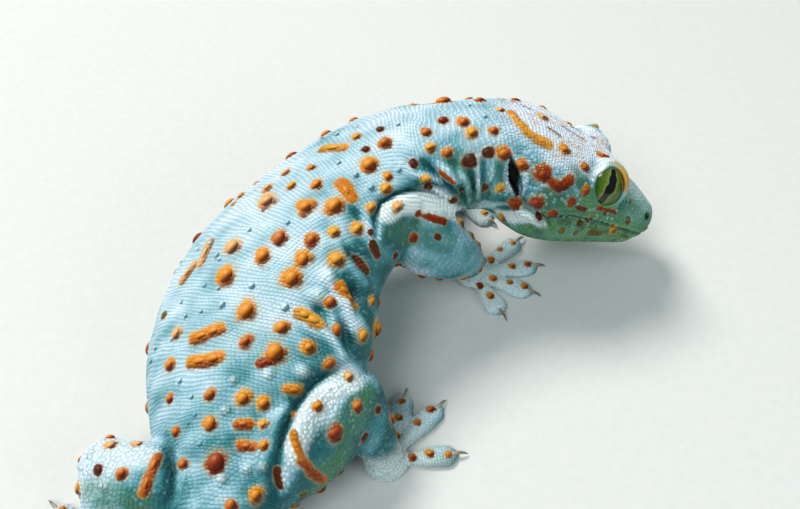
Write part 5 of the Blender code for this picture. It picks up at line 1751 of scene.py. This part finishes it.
# Scales and tubercles
TAIL_FROM, TAIL_TIP_FROM = 150.0, 200.0  # mm from the snout along the middle line
nearest, facing = onto(skin, all_seeds["root"])
bumps, kinds = tubercle_seeds(skin, {**all_seeds, "root": nearest}, marks)
seeds = choose_seeds(all_seeds, nearest, facing, bumps)
# Height in mm, and half widths round the row and along it as shares of the spacing
seeds["tall"] = np.where(seeds["kind"] == 0, 0.17, 0.12)
wide = np.where(seeds["kind"] == 0, 0.57, np.where(seeds["kind"] == 1, 0.76, 0.6))
deep = np.where(seeds["kind"] == 1, 0.53, 0.6)
# Larger pale granules scattered over the temples and cheeks
head_back, _, head_up = head_coordinates(seeds["root"])
granule = (seeds["kind"] == 0) & (head_back > 14) & (head_back < 46) & (mouth_away(head_back, head_up) > 1.5)
granule &= (seeds["facing"] @ UP < 0.72) & (np.random.default_rng(7).uniform(size=len(granule)) < 0.15)
seeds["tall"] = np.where(granule, 0.3, seeds["tall"])
seeds["along"] = seeds["along"] * np.where(granule, 0.85, deep)
seeds["around"] = seeds["around"] * np.where(granule, 0.85, wide)
# The coat, divided so that no piece has more than about 150,000 triangles
upper, rightward = np.sin(seeds["turn"]) > 0.0, np.cos(seeds["turn"]) > 0.0
is_tail = (seeds["kind"] == 1) & (seeds["place"] > TAIL_FROM)
is_trunk, is_tip = (seeds["kind"] == 1) & ~is_tail, seeds["place"] >= TAIL_TIP_FROM
groups = [
    ("scales_head", "skin_head", seeds["kind"] == 0),
    ("scales_tail_base", "skin_back", is_tail & ~is_tip), ("scales_tail_tip", "skin_back", is_tail & is_tip),
    ("scales_back_right", "skin_back", is_trunk & upper & rightward),
    ("scales_back_left", "skin_back", is_trunk & upper & ~rightward),
    ("scales_belly_right", "skin_back", is_trunk & ~upper & rightward),
    ("scales_belly_left", "skin_back", is_trunk & ~upper & ~rightward),
]
groups += [("scales_" + leg, "skin_leg", seeds["kind"] == 2 + number) for number, leg in enumerate(LEGS)]
scale_paint, skin_paint = gecko_paint("keratin_scales", False), gecko_paint("reptile_skin", True)
pieces = []
for number, (name, slot, chosen) in enumerate(groups):
    part = {key: value[chosen] for key, value in seeds.items()}
    pieces.append((raise_domes(name, part, marks, SCALE_PROFILE, 6, 2, 40 + number), slot, scale_paint))
tubercles = raise_domes("tubercles", bumps, marks, TUBERCLE_PROFILE, 12, 2, 60, kinds)
plates = raise_domes("lip_plates", lip_seeds(tree), marks, PLATE_PROFILE, 12, 3.2, 61)
pieces += [
    (tubercles, "skin_back", scale_paint), (plates, "skin_jaw", scale_paint), (skin, "skin_back", skin_paint),
]
eye_paint = eye_gloss()
for name, side in (("right", 1), ("left", -1)):
    ball = make_eye("eyeball_" + name, side)
    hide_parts("eye_" + name)
    pieces.append((ball, "eye", eye_paint))
    pieces.append((make_lid("eyelid_" + name, side), "skin_head", scale_paint))
pieces.append((make_claws(), "skin_leg", claw_horn()))
for piece, slot, paint in pieces:
    piece.data.materials.append(paint)
    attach(piece, "root")
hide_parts(*[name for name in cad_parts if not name.startswith("eye_")])

# Floor, light and camera
FLOOR_HALF, FLOOR_POSTS = 1.5, 13  # m, and posts along each side
SENSOR = 36.0  # mm, the camera's sensor width
floor_line = np.linspace(-FLOOR_HALF, FLOOR_HALF, FLOOR_POSTS)
floor_x, floor_y = np.meshgrid(floor_line, floor_line)
grid = np.stack([floor_x, floor_y, np.zeros_like(floor_x)], -1).reshape(-1, 3) / MM + BASE_MIDDLE
index = np.arange(FLOOR_POSTS**2).reshape(FLOOR_POSTS, FLOOR_POSTS)
tiles = np.stack([index[:-1, :-1], index[:-1, 1:], index[1:, 1:], index[1:, :-1]], -1).reshape(-1, 4)
floor = make_mesh("floor", grid, [tiles])
floor.data.materials.append(studio_paper())

aim = Vector((-BASE_MIDDLE[0] * MM, -BASE_MIDDLE[1] * MM, 0.014))
# Each lamp's place from the aim and width in metres, its power in watts and its colour
for name, away, size, watts, colour in (
    ("key_softbox", (-0.5, 0.4, 0.97), 0.46, 12.9, "#FFFAF5"),
    ("fill_softbox", (0.7, -0.5, 0.5), 0.6, 2.5, "#DDF2F6"),
    ("front_softbox", (-0.35, -0.6, 0.85), 0.5, 5.1, "#F4FAFC"),
):
    light = bpy.data.objects.new(name, bpy.data.lights.new(name, "AREA"))
    light.data.shape, light.data.size, light.data.energy, light.data.color = "DISK", size, watts, rgb(colour)
    light.location = aim + Vector(away)
    light.visible_glossy = name == "key_softbox"
    light.rotation_euler = (-Vector(away)).to_track_quat("-Z", "Y").to_euler()
    bpy.context.scene.collection.objects.link(light)
world = bpy.data.worlds.new("studio")
world.use_nodes = True
sky = world.node_tree.nodes["Background"].inputs
sky["Color"].default_value, sky["Strength"].default_value = opaque("#E8F1F4"), 0.24
bpy.context.scene.world = world
bpy.context.scene.view_settings.view_transform = "Standard"

lens = bpy.data.cameras.new("photo_view")
lens.sensor_width, lens.lens, lens.clip_start = SENSOR, SENSOR * FOCAL_PIXELS / PHOTO_WIDTH, 0.01
camera = bpy.data.objects.new("photo_view", lens)
camera.location = (CAMERA_PLACE - BASE_MIDDLE) * MM
camera.rotation_euler = (math.pi / 2 - VIEW_DOWN, 0.0, 0.0)
bpy.context.scene.collection.objects.link(camera)
bpy.context.scene.camera = camera
